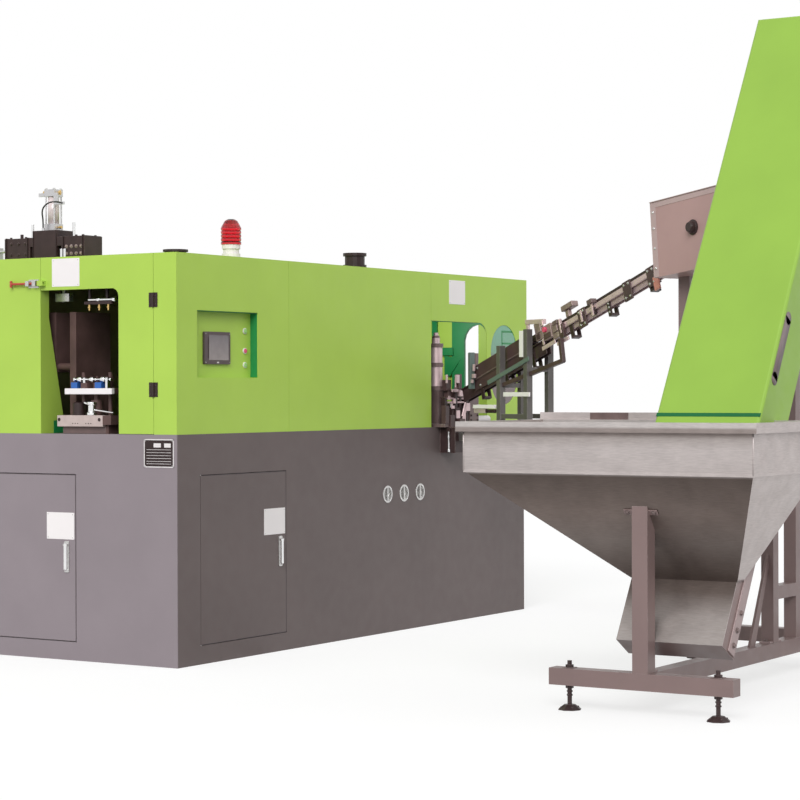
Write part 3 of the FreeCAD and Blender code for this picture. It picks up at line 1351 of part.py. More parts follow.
def elevator_frame():
    """Two side sheets, a back sheet below the discharge, cross ties and the gear motor."""
    low = (0, ELEVATOR_LENGTH - 2 * FRAME_SHEET)
    inside = inner(ELEVATOR_Y, COVER_SHEET + SEAT)
    parts = []
    for start in (inside[0], inside[1] - FRAME_SHEET):
        parts.append(block((FRAME_FRONT, ELEVATOR_BACK), (start, start + FRAME_SHEET), low))
    back = (ELEVATOR_BACK, ELEVATOR_BACK + FRAME_SHEET)
    parts.append(block(back, inside, (low[0], low[1] - 3 * DRUM_INSET)))
    parts.append(block((FRAME_FRONT, ELEVATOR_BACK), inside, (low[0], low[0] + FRAME_SHEET)))
    bores = []
    for z in drum_places():
        bores.append(rod(DRUM_SHAFT + RUN, V(DRUM_LINE, inside[0] - 1, z), V(DRUM_LINE, inside[1] + 1, z)))
    frame = cut(fuse(*parts), *bores)
    z = drum_places()[1] - 2 * MOTOR_RADIUS
    out = ELEVATOR_BACK + FRAME_SHEET
    motor = turned([(MOTOR_RADIUS, 0), (MOTOR_RADIUS, MOTOR_LENGTH)],
                   V(out + MOTOR_RADIUS, inside[0] + MOTOR_RADIUS, z - 3 * DRUM_INSET), V(0, 1, 0), 16)
    shoe = block((out, out + MOTOR_RADIUS), (inside[0] + MOTOR_RADIUS, inside[0] + MOTOR_RADIUS + MOTOR_LENGTH / 2),
                 (z - 3 * DRUM_INSET - MOTOR_RADIUS / 2, z - 3 * DRUM_INSET + MOTOR_RADIUS / 2))
    return leant(fuse(frame, motor, shoe))


def drum_places():
    return DRUM_INSET, ELEVATOR_LENGTH - DRUM_INSET


def elevator_drum(z):
    """Drum turned down to its shafts in the side sheets."""
    inside = inner(ELEVATOR_Y, COVER_SHEET + SEAT)
    face = inner(inside, FRAME_SHEET + SEAT)
    body = turned([(DRUM_RADIUS - SEAT, face[0]), (DRUM_RADIUS - SEAT, face[1])], V(DRUM_LINE, 0, z), V(0, 1, 0))
    shaft = rod(DRUM_SHAFT, V(DRUM_LINE, inside[0], z), V(DRUM_LINE, inside[1], z))
    return leant(fuse(body, shaft))


def elevator_belt():
    """Endless belt round both drums with straight flights on its two runs."""
    inside = inner(ELEVATOR_Y, COVER_SHEET + FRAME_SHEET + BELT_MARGIN)
    width = V(0, inside[1] - inside[0], 0)
    low, high = drum_places()
    loops = []
    for radius in (DRUM_RADIUS + BELT_THICKNESS, DRUM_RADIUS):
        at = on_side(inside[0])
        points = [(DRUM_LINE - radius, high), (DRUM_LINE, high + radius), (DRUM_LINE + radius, high),
                  (DRUM_LINE + radius, low), (DRUM_LINE, low - radius), (DRUM_LINE - radius, low)]
        corners = [at(*point) for point in points]
        loops.append(Part.Wire([Part.Arc(*corners[:3]).toShape(), Part.makeLine(corners[2], corners[3]),
                                Part.Arc(*corners[3:]).toShape(), Part.makeLine(corners[5], corners[0])]))
    belt = Part.Face(loops[0]).extrude(width).cut(Part.Face(loops[1]).extrude(width))
    outer = DRUM_RADIUS + BELT_THICKNESS
    flights = []
    for number in range(int((high - low) / FLIGHT_PITCH)):
        z = low + (number + 0.5) * FLIGHT_PITCH
        for side in (-1, 1):
            x = sorted((DRUM_LINE + side * outer, DRUM_LINE + side * (outer + FLIGHT_HEIGHT)))
            flights.append(block(x, inner(inside, BELT_MARGIN), (z, z + FLIGHT_THICKNESS)))
    return leant(fuse(belt, *flights))


# ---- hopper tub
def plate_x(z):
    """Place of the foot plate's outer face at a height."""
    lean = math.radians(ELEVATOR_LEAN)
    front = FRAME_FRONT - SEAT - TUB_SHEET
    return ELEVATOR_FOOT[0] + (z - ELEVATOR_FOOT[1]) * math.tan(lean) + front / math.cos(lean)


def funnel(offset):
    """Closed form of the funnel, drawn in from its outside by an offset."""
    slot = (plate_x(TUB_FOOT), plate_x(TUB_FOOT) + TUB_SLOT)
    loops = []
    for x, y, z in ((inner(TUB_X, offset), inner(TUB_Y, offset), TUB_SKIRT),
                    (inner(slot, offset), inner(ELEVATOR_Y, 0), TUB_FOOT)):
        loops.append([V(x[0], y[0], z), V(x[1], y[0], z), V(x[1], y[1], z), V(x[0], y[1], z)])
    faces = [Part.Face(Part.makePolygon(loop + loop[:1])) for loop in loops]
    for side in range(4):
        after = (side + 1) % 4
        corners = [loops[0][side], loops[0][after], loops[1][after], loops[1][side]]
        faces.append(Part.Face(Part.makePolygon(corners + corners[:1])))
    solid = Part.Solid(Part.Shell(faces))
    return solid if solid.Volume > 0 else solid.reversed()


def elevator_way():
    """Room that the elevator's frame and hood take through the tub."""
    margin = SEAT
    return leant(block((FRAME_FRONT - margin, ELEVATOR_BACK + FRAME_SHEET + margin),
                       inner(ELEVATOR_Y, -margin), (-100, ELEVATOR_LENGTH)))


def hopper_tub():
    """Skirt with a turned-down rim, the folded funnel and the plate that runs on to the foot."""
    skirt = block(TUB_X, TUB_Y, (TUB_SKIRT, TUB_TOP))
    skirt = skirt.cut(block(inner(TUB_X, TUB_SHEET), inner(TUB_Y, TUB_SHEET), (TUB_SKIRT - 1, TUB_TOP + 1)))
    rim = block(inner(TUB_X, -RIM_WIDTH), inner(TUB_Y, -RIM_WIDTH), (TUB_TOP - RIM_HEIGHT, TUB_TOP))
    lip = block(inner(TUB_X, TUB_SHEET - RIM_WIDTH), inner(TUB_Y, TUB_SHEET - RIM_WIDTH),
                (TUB_TOP - RIM_HEIGHT - 1, TUB_TOP - TUB_SHEET))
    rim = cut(rim, lip, block(inner(TUB_X, TUB_SHEET), inner(TUB_Y, TUB_SHEET), (TUB_SKIRT, TUB_TOP + 1)))
    cone = funnel(0).cut(funnel(TUB_SHEET))
    inside = inner(ELEVATOR_Y, COVER_SHEET)
    front = (FRAME_FRONT - SEAT - TUB_SHEET, FRAME_FRONT - SEAT)
    plate = leant(block(front, inside, (0, FOOT_PLATE_TOP)))
    way = elevator_way()
    hood = leant(block((HOOD_FRONT - SEAT, ELEVATOR_BACK), inner(ELEVATOR_Y, -SEAT),
                       (HOOD_START - SEAT, ELEVATOR_LENGTH)))
    body = cut(fuse(skirt, rim, cone), way, hood)
    body = fuse(body, plate)
    return max(body.Solids, key=lambda solid: solid.Volume)


# ---- welded stand and its feet
def foot_places():
    return ([(STAND_FRONT, y) for y in inner(FRONT_BEAM_Y, 80)]
            + [(stand_rear(), y) for y in inner(REAR_BEAM_Y, 100)])


def stand_rear():
    return sorter_leg_places()[0][0]


def lowest(shape):
    return min(shape.Solids, key=lambda solid: solid.CenterOfMass.z)


def stand_frame():
    """Beams on levelling feet with the tub's post, the elevator's post and the sorter's legs."""
    half = BEAM / 2
    levels = (BEAM_SILL, BEAM_SILL + BEAM)
    deck = levels[1]
    parts = [block((STAND_FRONT - half, STAND_FRONT + half), FRONT_BEAM_Y, levels),
             block((stand_rear() - half, stand_rear() + half), REAR_BEAM_Y, levels),
             block((STAND_FRONT, stand_rear()), (BEAM_Y - half, BEAM_Y + half), levels)]
    post = block((STAND_FRONT - half, STAND_FRONT + half), (BEAM_Y - half, BEAM_Y + half), (deck, TUB_SKIRT))
    parts.append(lowest(post.cut(funnel(0))))
    slim = POST / 2
    back = leant(block((HOOD_FRONT, ELEVATOR_BACK + FRAME_SHEET), ELEVATOR_Y, (-100, ELEVATOR_LENGTH)))
    prop = block((ELEVATOR_POST - slim, ELEVATOR_POST + slim), (BEAM_Y - slim, BEAM_Y + slim), (deck, MACHINE_TOP * 2))
    parts.append(lowest(prop.cut(back)))
    sorter = along_sorter(sorter_body())
    for x, y in sorter_leg_places():
        leg = block((x - slim, x + slim), (y - slim, y + slim), (deck, MACHINE_TOP * 2))
        parts.append(lowest(leg.cut(sorter)))
    parts.append(block((ELEVATOR_POST, sorter_leg_places()[1][0]), (BEAM_Y - slim, BEAM_Y + slim),
                       (BRACE_SILL, BRACE_SILL + POST)))
    strut = [(ELEVATOR_POST, STRUT_TOP), (ELEVATOR_POST, STRUT_TOP - POST), (STRUT_FOOT + POST, deck),
             (STRUT_FOOT, deck)]
    parts.append(slab(strut, on_side(BEAM_Y - STRUT / 2), V(0, STRUT, 0)))
    bore = STEM_RADIUS + RUN
    bores = [turned([(bore, 0), (bore, deck + 1)], V(x, y, 0), sides=STEM_SIDES) for x, y in foot_places()]
    return cut(butted(*parts), *bores)


def levelling_feet():
    """Round pads on threaded stems with a nut below and above the beam."""
    feet = []
    for x, y in foot_places():
        at = V(x, y, 0)
        stem = turned([(PAD_RADIUS, 0), (PAD_RADIUS, PAD_SOLE), (PAD_RADIUS / 2, PAD_HEIGHT),
                       (STEM_RADIUS, PAD_HEIGHT), (STEM_RADIUS, STEM_TOP)], at, sides=STEM_SIDES)
        feet.append(fuse(stem, nut(at + V(0, 0, BEAM_SILL - NUT_HEIGHT)), nut(at + V(0, 0, BEAM_SILL + BEAM))))
    return group(*feet)


def nut(at):
    corners = [(at.x + NUT_RADIUS * math.cos(math.radians(60 * number)),
                at.y + NUT_RADIUS * math.sin(math.radians(60 * number))) for number in range(6)]
    return slab(corners, on_level(at.z), V(0, 0, NUT_HEIGHT))


def placed_doors():
    """Door, pins, handle plate and lever at both lower cut-outs."""
    pieces = {}
    pins = []
    for name, x, y, turn in (("front", FRONT_DOOR_START, 0, 0), ("end", 0, END_DOOR_START, -90)):
        pieces["lower_" + name + "_door"] = moved(lower_door(), x, y, 0, turn)
        pieces[name + "_handle_plate"] = moved(handle_plate(), x, y, 0, turn)
        pieces[name + "_handle_lever"] = moved(handle_lever(), x, y, 0, turn)
        pins.append(moved(door_pins(), x, y, 0, turn))
    pieces["lower_door_pins"] = group(*pins)
    return pieces


def machine_pieces():
    pieces = {
        "base_frame": base_frame(), "machine_bed": machine_bed(), "base_side_panel": base_side_panel(),
        "base_end_panel": base_end_panel(), "base_rear_panels": group(base_back_panel(), base_far_panel()),
        "inspection_ports": inspection_ports(), "corner_cover": corner_cover(), "front_cover": front_cover(),
        "infeed_cover": infeed_cover(), "window_pane": window_glass(), "far_cover": far_cover(),
        "back_cover": back_cover(), "cover_frame": group(cover_frame(), transfer_partition()),
        "roof": roof(), "end_door": end_door(), "end_side_cover": end_side_cover(),
        "end_hinge_leaves": end_hinge_leaves(), "end_door_leaves": end_door_leaves(),
        "latch_body": latch_body(), "latch_bolt": latch_bolt(), "operator_panel": operator_panel(),
        "button_bezels": button_bezels(), "beacon_base": beacon_base(), "beacon_dome": beacon_dome(),
        "exhaust_stub": exhaust_stub(), "roof_vent": roof_vent(), "blowing_block": blowing_block(),
        "stretch_cylinder": group(stretch_cylinder(), air_fittings()), "stretch_carriage": stretch_carriage(),
        "air_hose": air_hose(), "mould_half_front": mould_half(-1), "mould_half_back": mould_half(1),
        "clamp_frame": group(clamp_frame(), lift_foot()), "lift_table": lift_table(),
    }
    for name, height in BUTTON_HEIGHTS.items():
        pieces[name] = button(height)
    pieces.update(placed_doors())
    return pieces


def line_pieces():
    rollers = roller_lines()
    drums = drum_places()
    return {
        "infeed_unit": infeed_unit(), "infeed_pusher": infeed_pusher(), "chute_rails": chute_rails(),
        "chute_clamps": chute_clamps(), "chute_stand": chute_stand(), "sorter_housing": sorter_housing(),
        "sorter_roller_near": sorter_roller(rollers[1]), "sorter_roller_far": sorter_roller(rollers[0]),
        "elevator_hood": elevator_hood(), "elevator_frame": elevator_frame(), "elevator_belt": elevator_belt(),
        "foot_drum": elevator_drum(drums[0]), "head_drum": elevator_drum(drums[1]), "hopper_tub": hopper_tub(),
        "stand_frame": stand_frame(), "levelling_feet": levelling_feet(),
    }


def write_parts():
    os.makedirs("parts", exist_ok=True)
    pieces = machine_pieces()
    pieces.update(line_pieces())
    for name, shape in pieces.items():
        shape = shape.copy()
        shape.translate(MIDDLE * -1)
        shape.exportStep("parts/" + name + ".step")
        print(name, len(shape.Solids), "solids", "valid" if shape.isValid() else "INVALID")


write_parts()
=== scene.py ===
"""Looks of the blow moulding line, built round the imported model.

Finishes for the CAD pieces, the small parts that only the pictures need, light and camera.
"""

import math

import bmesh
import bpy
from mathutils import Matrix, Vector


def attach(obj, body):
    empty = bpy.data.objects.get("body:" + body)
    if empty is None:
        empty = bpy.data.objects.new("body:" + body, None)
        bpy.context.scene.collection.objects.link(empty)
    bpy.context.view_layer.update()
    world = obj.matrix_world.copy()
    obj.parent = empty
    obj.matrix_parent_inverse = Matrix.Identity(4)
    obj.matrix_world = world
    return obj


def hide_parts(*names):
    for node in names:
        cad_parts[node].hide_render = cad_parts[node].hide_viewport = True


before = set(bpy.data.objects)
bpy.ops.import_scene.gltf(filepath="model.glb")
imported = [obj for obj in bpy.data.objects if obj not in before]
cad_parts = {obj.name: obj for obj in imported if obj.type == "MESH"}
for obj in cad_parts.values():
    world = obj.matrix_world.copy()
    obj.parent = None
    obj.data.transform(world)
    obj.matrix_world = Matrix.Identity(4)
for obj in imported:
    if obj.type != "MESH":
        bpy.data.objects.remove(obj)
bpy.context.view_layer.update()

# ---- the source's own numbers, in millimetres from the machine's near corner
MIDDLE = (1735, 1000)
FRONTWARD, BACKWARD, ENDWARD, UPWARD = (0, -1, 0), (0, 1, 0), (-1, 0, 0), (0, 0, 1)
BED_TOP = 1122
MACHINE_TOP = 2000
UNIT_X, UNIT_Y = 260, 990
UNIT_DECK = MACHINE_TOP + 153
LIFT_TOP = 1346.6
DECK = 1140
HOSE_ROUTE = ((225, 905, 2292), (190, 905, 2296), (166, 934, 2294), (163, 972, 2274),
              (180, 1000, 2246), (206, 1014, 2212), (206, 1014, 2168))
HOSE_DIAMETER = 8
CHUTE_LOW = (2589, -80, 1336)
CHUTE_HIGH = (1700, -1836, 1970)
ELEVATOR_FOOT = (-194, 275)
ELEVATOR_LEAN = 30.9
SORTER_TILT = 5
PANEL_X = (266, 479)
RECESS = (163, 668, 1397, 1725)
INFEED = (2351, 2984)
PORTS = (1884, 2054, 2224)
PORT_HEIGHT = 761
YOKES = (1222, 1640, 1850)
ROLLER_DROP = -22.5


def at(x, y, z):
    """Row-frame point in metres for the source's corner millimetres."""
    return Vector(((x - MIDDLE[0]) / 1000, (y - MIDDLE[1]) / 1000, z / 1000))


# ---- finishes: lengths in metres, noises as scale and detail
BEVEL_SAMPLES = 4
EDGE_RADIUS = 0.0012
WEAR_WIDTH = 0.0025
GRAIN_STRENGTH, GRAIN_DEPTH = 0.12, 0.0008
PEEL_DEPTH = 0.0006
GLOSS_NOISE, DIRT_NOISE, WEAR_NOISE = (14.0, 5.0), (11.0, 6.0), (40.0, 4.0)
GLOSS_SPREAD, GRAIN_SPREAD = 0.06, 0.1
TURNED_AWAY, TURNED_TO = -0.35, -0.6


def noise(tree, scale, detail=3.0, stretch=None):
    """Noise read in the row frame's own metres, stretched along an axis for grain."""
    place = tree.nodes.new("ShaderNodeTexCoord").outputs["Object"]
    grain = tree.nodes.new("ShaderNodeTexNoise")
    grain.inputs["Scale"].default_value = scale
    grain.inputs["Detail"].default_value = detail
    if stretch:
        mapping = tree.nodes.new("ShaderNodeMapping")
        mapping.inputs["Scale"].default_value = stretch
        tree.links.new(place, mapping.inputs["Vector"])
        place = mapping.outputs["Vector"]
    tree.links.new(place, grain.inputs["Vector"])
    return grain.outputs["Fac"]


def ramp(tree, source, low, high, start=0.3, end=0.7):
    """Colour or grey between two values as the source goes from start to end."""
    node = tree.nodes.new("ShaderNodeValToRGB")
    node.color_ramp.elements[0].position = start
    node.color_ramp.elements[1].position = end
    node.color_ramp.elements[0].color = colour(low)
    node.color_ramp.elements[1].color = colour(high)
    tree.links.new(source, node.inputs["Fac"])
    return node.outputs["Color"]


def colour(value):
    """Four colour values from a grey or from three."""
    if isinstance(value, (int, float)):
        return (value, value, value, 1)
    return (*value, 1)


def shaded(value, factor):
    """A colour made lighter or darker."""
    return tuple(min(1.0, part * factor) for part in value)


def multiplied(tree, first, second):
    """One colour output times another."""
    mix = tree.nodes.new("ShaderNodeMix")
    mix.data_type = "RGBA"
    mix.blend_type = "MULTIPLY"
    mix.inputs["Factor"].default_value = 1.0
    tree.links.new(first, mix.inputs["A"])
    tree.links.new(second, mix.inputs["B"])
    return mix.outputs["Result"]


def mixed(tree, mask, tone, other):
    """A colour output that gives way to a fixed colour where the mask is 1."""
    mix = tree.nodes.new("ShaderNodeMix")
    mix.data_type = "RGBA"
    tree.links.new(mask, mix.inputs["Factor"])
    tree.links.new(tone, mix.inputs["A"])
    mix.inputs["B"].default_value = colour(other)
    return mix.outputs["Result"]


def share_along(tree, reading, axis, low, high):
    """0 to 1 as one axis of a texture coordinate goes from low to high."""
    parts = tree.nodes.new("ShaderNodeSeparateXYZ")
    share = tree.nodes.new("ShaderNodeMapRange")
    share.inputs["From Min"].default_value = low
    share.inputs["From Max"].default_value = high
    tree.links.new(tree.nodes.new("ShaderNodeTexCoord").outputs[reading], parts.inputs[0])
    tree.links.new(parts.outputs[axis], share.inputs["Value"])
    return share.outputs["Result"]


def by_height(tree, levels):
    """Colour that follows the height in the row frame, from (height, colour) pairs."""
    low, high = levels[0][0], levels[-1][0]
    node = tree.nodes.new("ShaderNodeValToRGB")
    ends = node.color_ramp.elements
    for height, value in levels[1:-1]:
        ends.new((height - low) / (high - low))
    for element, (height, value) in zip(ends, levels):
        element.position = (height - low) / (high - low)
        element.color = colour(value)
    tree.links.new(share_along(tree, "Object", "Z", low, high), node.inputs["Fac"])
    return node.outputs["Color"]


def near_edges(tree):
    """1 along outside edges, where paint wears, broken up by noise."""
    soft = tree.nodes.new("ShaderNodeBevel")
    soft.samples = BEVEL_SAMPLES
    soft.inputs["Radius"].default_value = WEAR_WIDTH
    turn = tree.nodes.new("ShaderNodeVectorMath")
    turn.operation = "DOT_PRODUCT"
    tree.links.new(soft.outputs["Normal"], turn.inputs[0])
    tree.links.new(tree.nodes.new("ShaderNodeNewGeometry").outputs["Normal"], turn.inputs[1])
    return multiplied(tree, ramp(tree, turn.outputs["Value"], 0.9, 0.0, 0.86, 0.995),
                      ramp(tree, noise(tree, *WEAR_NOISE), 0.1, 1.0, 0.35, 0.6))


def relief(tree, normal, height, strength, depth):
    """Normal with a height pattern's relief added."""
    bump = tree.nodes.new("ShaderNodeBump")
    bump.inputs["Strength"].default_value = strength
    bump.inputs["Distance"].default_value = depth
    tree.links.new(height, bump.inputs["Height"])
    tree.links.new(normal, bump.inputs["Normal"])
    return bump.outputs["Normal"]


def finish(name, base, rough=0.45, metal=0.0, mottle=0.06, mottle_scale=3.0, grain=None,
           grain_scale=90.0, peel=0.0, peel_scale=700.0, wear=None, coat=0.0, dirt=0.0,
           levels=None, side=None, clear=0.0, gloss=0.5):
    """Principled finish with mottled colour, varied roughness, relief and softened edges.

    levels are (height in metres, colour) pairs that take the place of base, side is the tone
    of faces turned to the panel's side and wear is the colour along outside edges.
    """
    material = bpy.data.materials.new(name)
    material.use_nodes = True
    tree = material.node_tree
    shader = tree.nodes["Principled BSDF"]
    link = tree.links.new
    shader.inputs["Metallic"].default_value = metal
    shader.inputs["Coat Weight"].default_value = coat
    shader.inputs["Transmission Weight"].default_value = clear
    shader.inputs["Specular IOR Level"].default_value = gloss
    tone = ramp(tree, noise(tree, mottle_scale, 4.0), shaded(base, 1 - mottle),
                shaded(base, 1 + mottle))
    if levels:
        mottling = ramp(tree, noise(tree, mottle_scale, 4.0), 1 - 2 * mottle, 1.0)
        tone = multiplied(tree, by_height(tree, levels), mottling)
    if side:
        facing = share_along(tree, "Normal", "Y", TURNED_AWAY, TURNED_TO)
        tone = mixed(tree, facing, tone, side)
    if grain:
        streak = noise(tree, grain_scale, 5.0, grain)
        tone = multiplied(tree, tone, ramp(tree, streak, 0.86, 1.0, 0.35, 0.65))
    if dirt:
        film = ramp(tree, noise(tree, *DIRT_NOISE), 1 - dirt, 1.0, 0.38, 0.62)
        tone = multiplied(tree, tone, film)
    if wear:
        tone = mixed(tree, near_edges(tree), tone, wear)
    link(tone, shader.inputs["Base Color"])
    spread = GRAIN_SPREAD if grain else GLOSS_SPREAD
    link(ramp(tree, noise(tree, *GLOSS_NOISE), max(0.02, rough - spread), min(1.0, rough + spread)),
         shader.inputs["Roughness"])
    bevel = tree.nodes.new("ShaderNodeBevel")
    bevel.samples = BEVEL_SAMPLES
    bevel.inputs["Radius"].default_value = EDGE_RADIUS
    normal = bevel.outputs["Normal"]
    if grain:
        lines = noise(tree, grain_scale * 3, 4.0, grain)
        normal = relief(tree, normal, lines, GRAIN_STRENGTH, GRAIN_DEPTH)
    if peel:
        normal = relief(tree, normal, noise(tree, peel_scale, 2.0), peel, PEEL_DEPTH)
    link(normal, shader.inputs["Normal"])
    return material


def glassy(name, tint, rough):
    """Clear tinted plastic with a little unevenness in its tone and gloss."""
    material = bpy.data.materials.new(name)
    material.use_nodes = True
    tree = material.node_tree
    shader = tree.nodes["Principled BSDF"]
    shader.inputs["Transmission Weight"].default_value = 1.0
    shader.inputs["IOR"].default_value = 1.45
    tree.links.new(ramp(tree, noise(tree, 6.0), shaded(tint, 0.8), tint),
                   shader.inputs["Base Color"])
    tree.links.new(ramp(tree, noise(tree, 30.0, 5.0), rough, rough + 0.05),
                   shader.inputs["Roughness"])
    return material


# Hopper tub tones by height. The funnel between 0.5 m and the waist is painted dark as shade on its
# downward faces, darkest at its foot and at its top under the skirt, with a lighter painted
# reflection across its middle. The dark band just under the rim is a painted shadow of the rim's
# overhang. The foot plate at the bottom, the skirt and the rim keep the steel's own light tone.
TUB_TONES_AND_SHADE = ((0.20, (0.46, 0.415, 0.395)), (0.40, (0.40, 0.355, 0.335)),
              (0.50, (0.16, 0.125, 0.11)), (0.56, (0.12, 0.09, 0.078)), (0.70, (0.20, 0.165, 0.15)),
              (0.82, (0.205, 0.16, 0.142)), (0.978, (0.12, 0.09, 0.078)),
              (0.993, (0.56, 0.50, 0.485)), (1.09, (0.60, 0.54, 0.525)),
              (1.135, (0.47, 0.415, 0.395)), (1.15, (0.33, 0.275, 0.255)),
              (1.174, (0.36, 0.305, 0.285)), (1.182, (0.64, 0.59, 0.57)),
              (1.21, (0.64, 0.59, 0.57)))
CHUTE_LEVELS = ((1.20, (0.085, 0.052, 0.052)), (1.58, (0.09, 0.056, 0.055)),
                (1.64, (0.48, 0.35, 0.36)), (2.0, (0.54, 0.40, 0.42)))
# Window glass painted by height, brownish below and bright green above, for the mechanism in shade
# and the lit green inside seen through it: painted shade and painted light.
WINDOW_SHADE_AND_LIGHT = ((1.24, (0.19, 0.125, 0.135)), (1.52, (0.21, 0.15, 0.16)),
                 (1.56, (0.19, 0.45, 0.29)), (1.73, (0.2, 0.58, 0.36)))
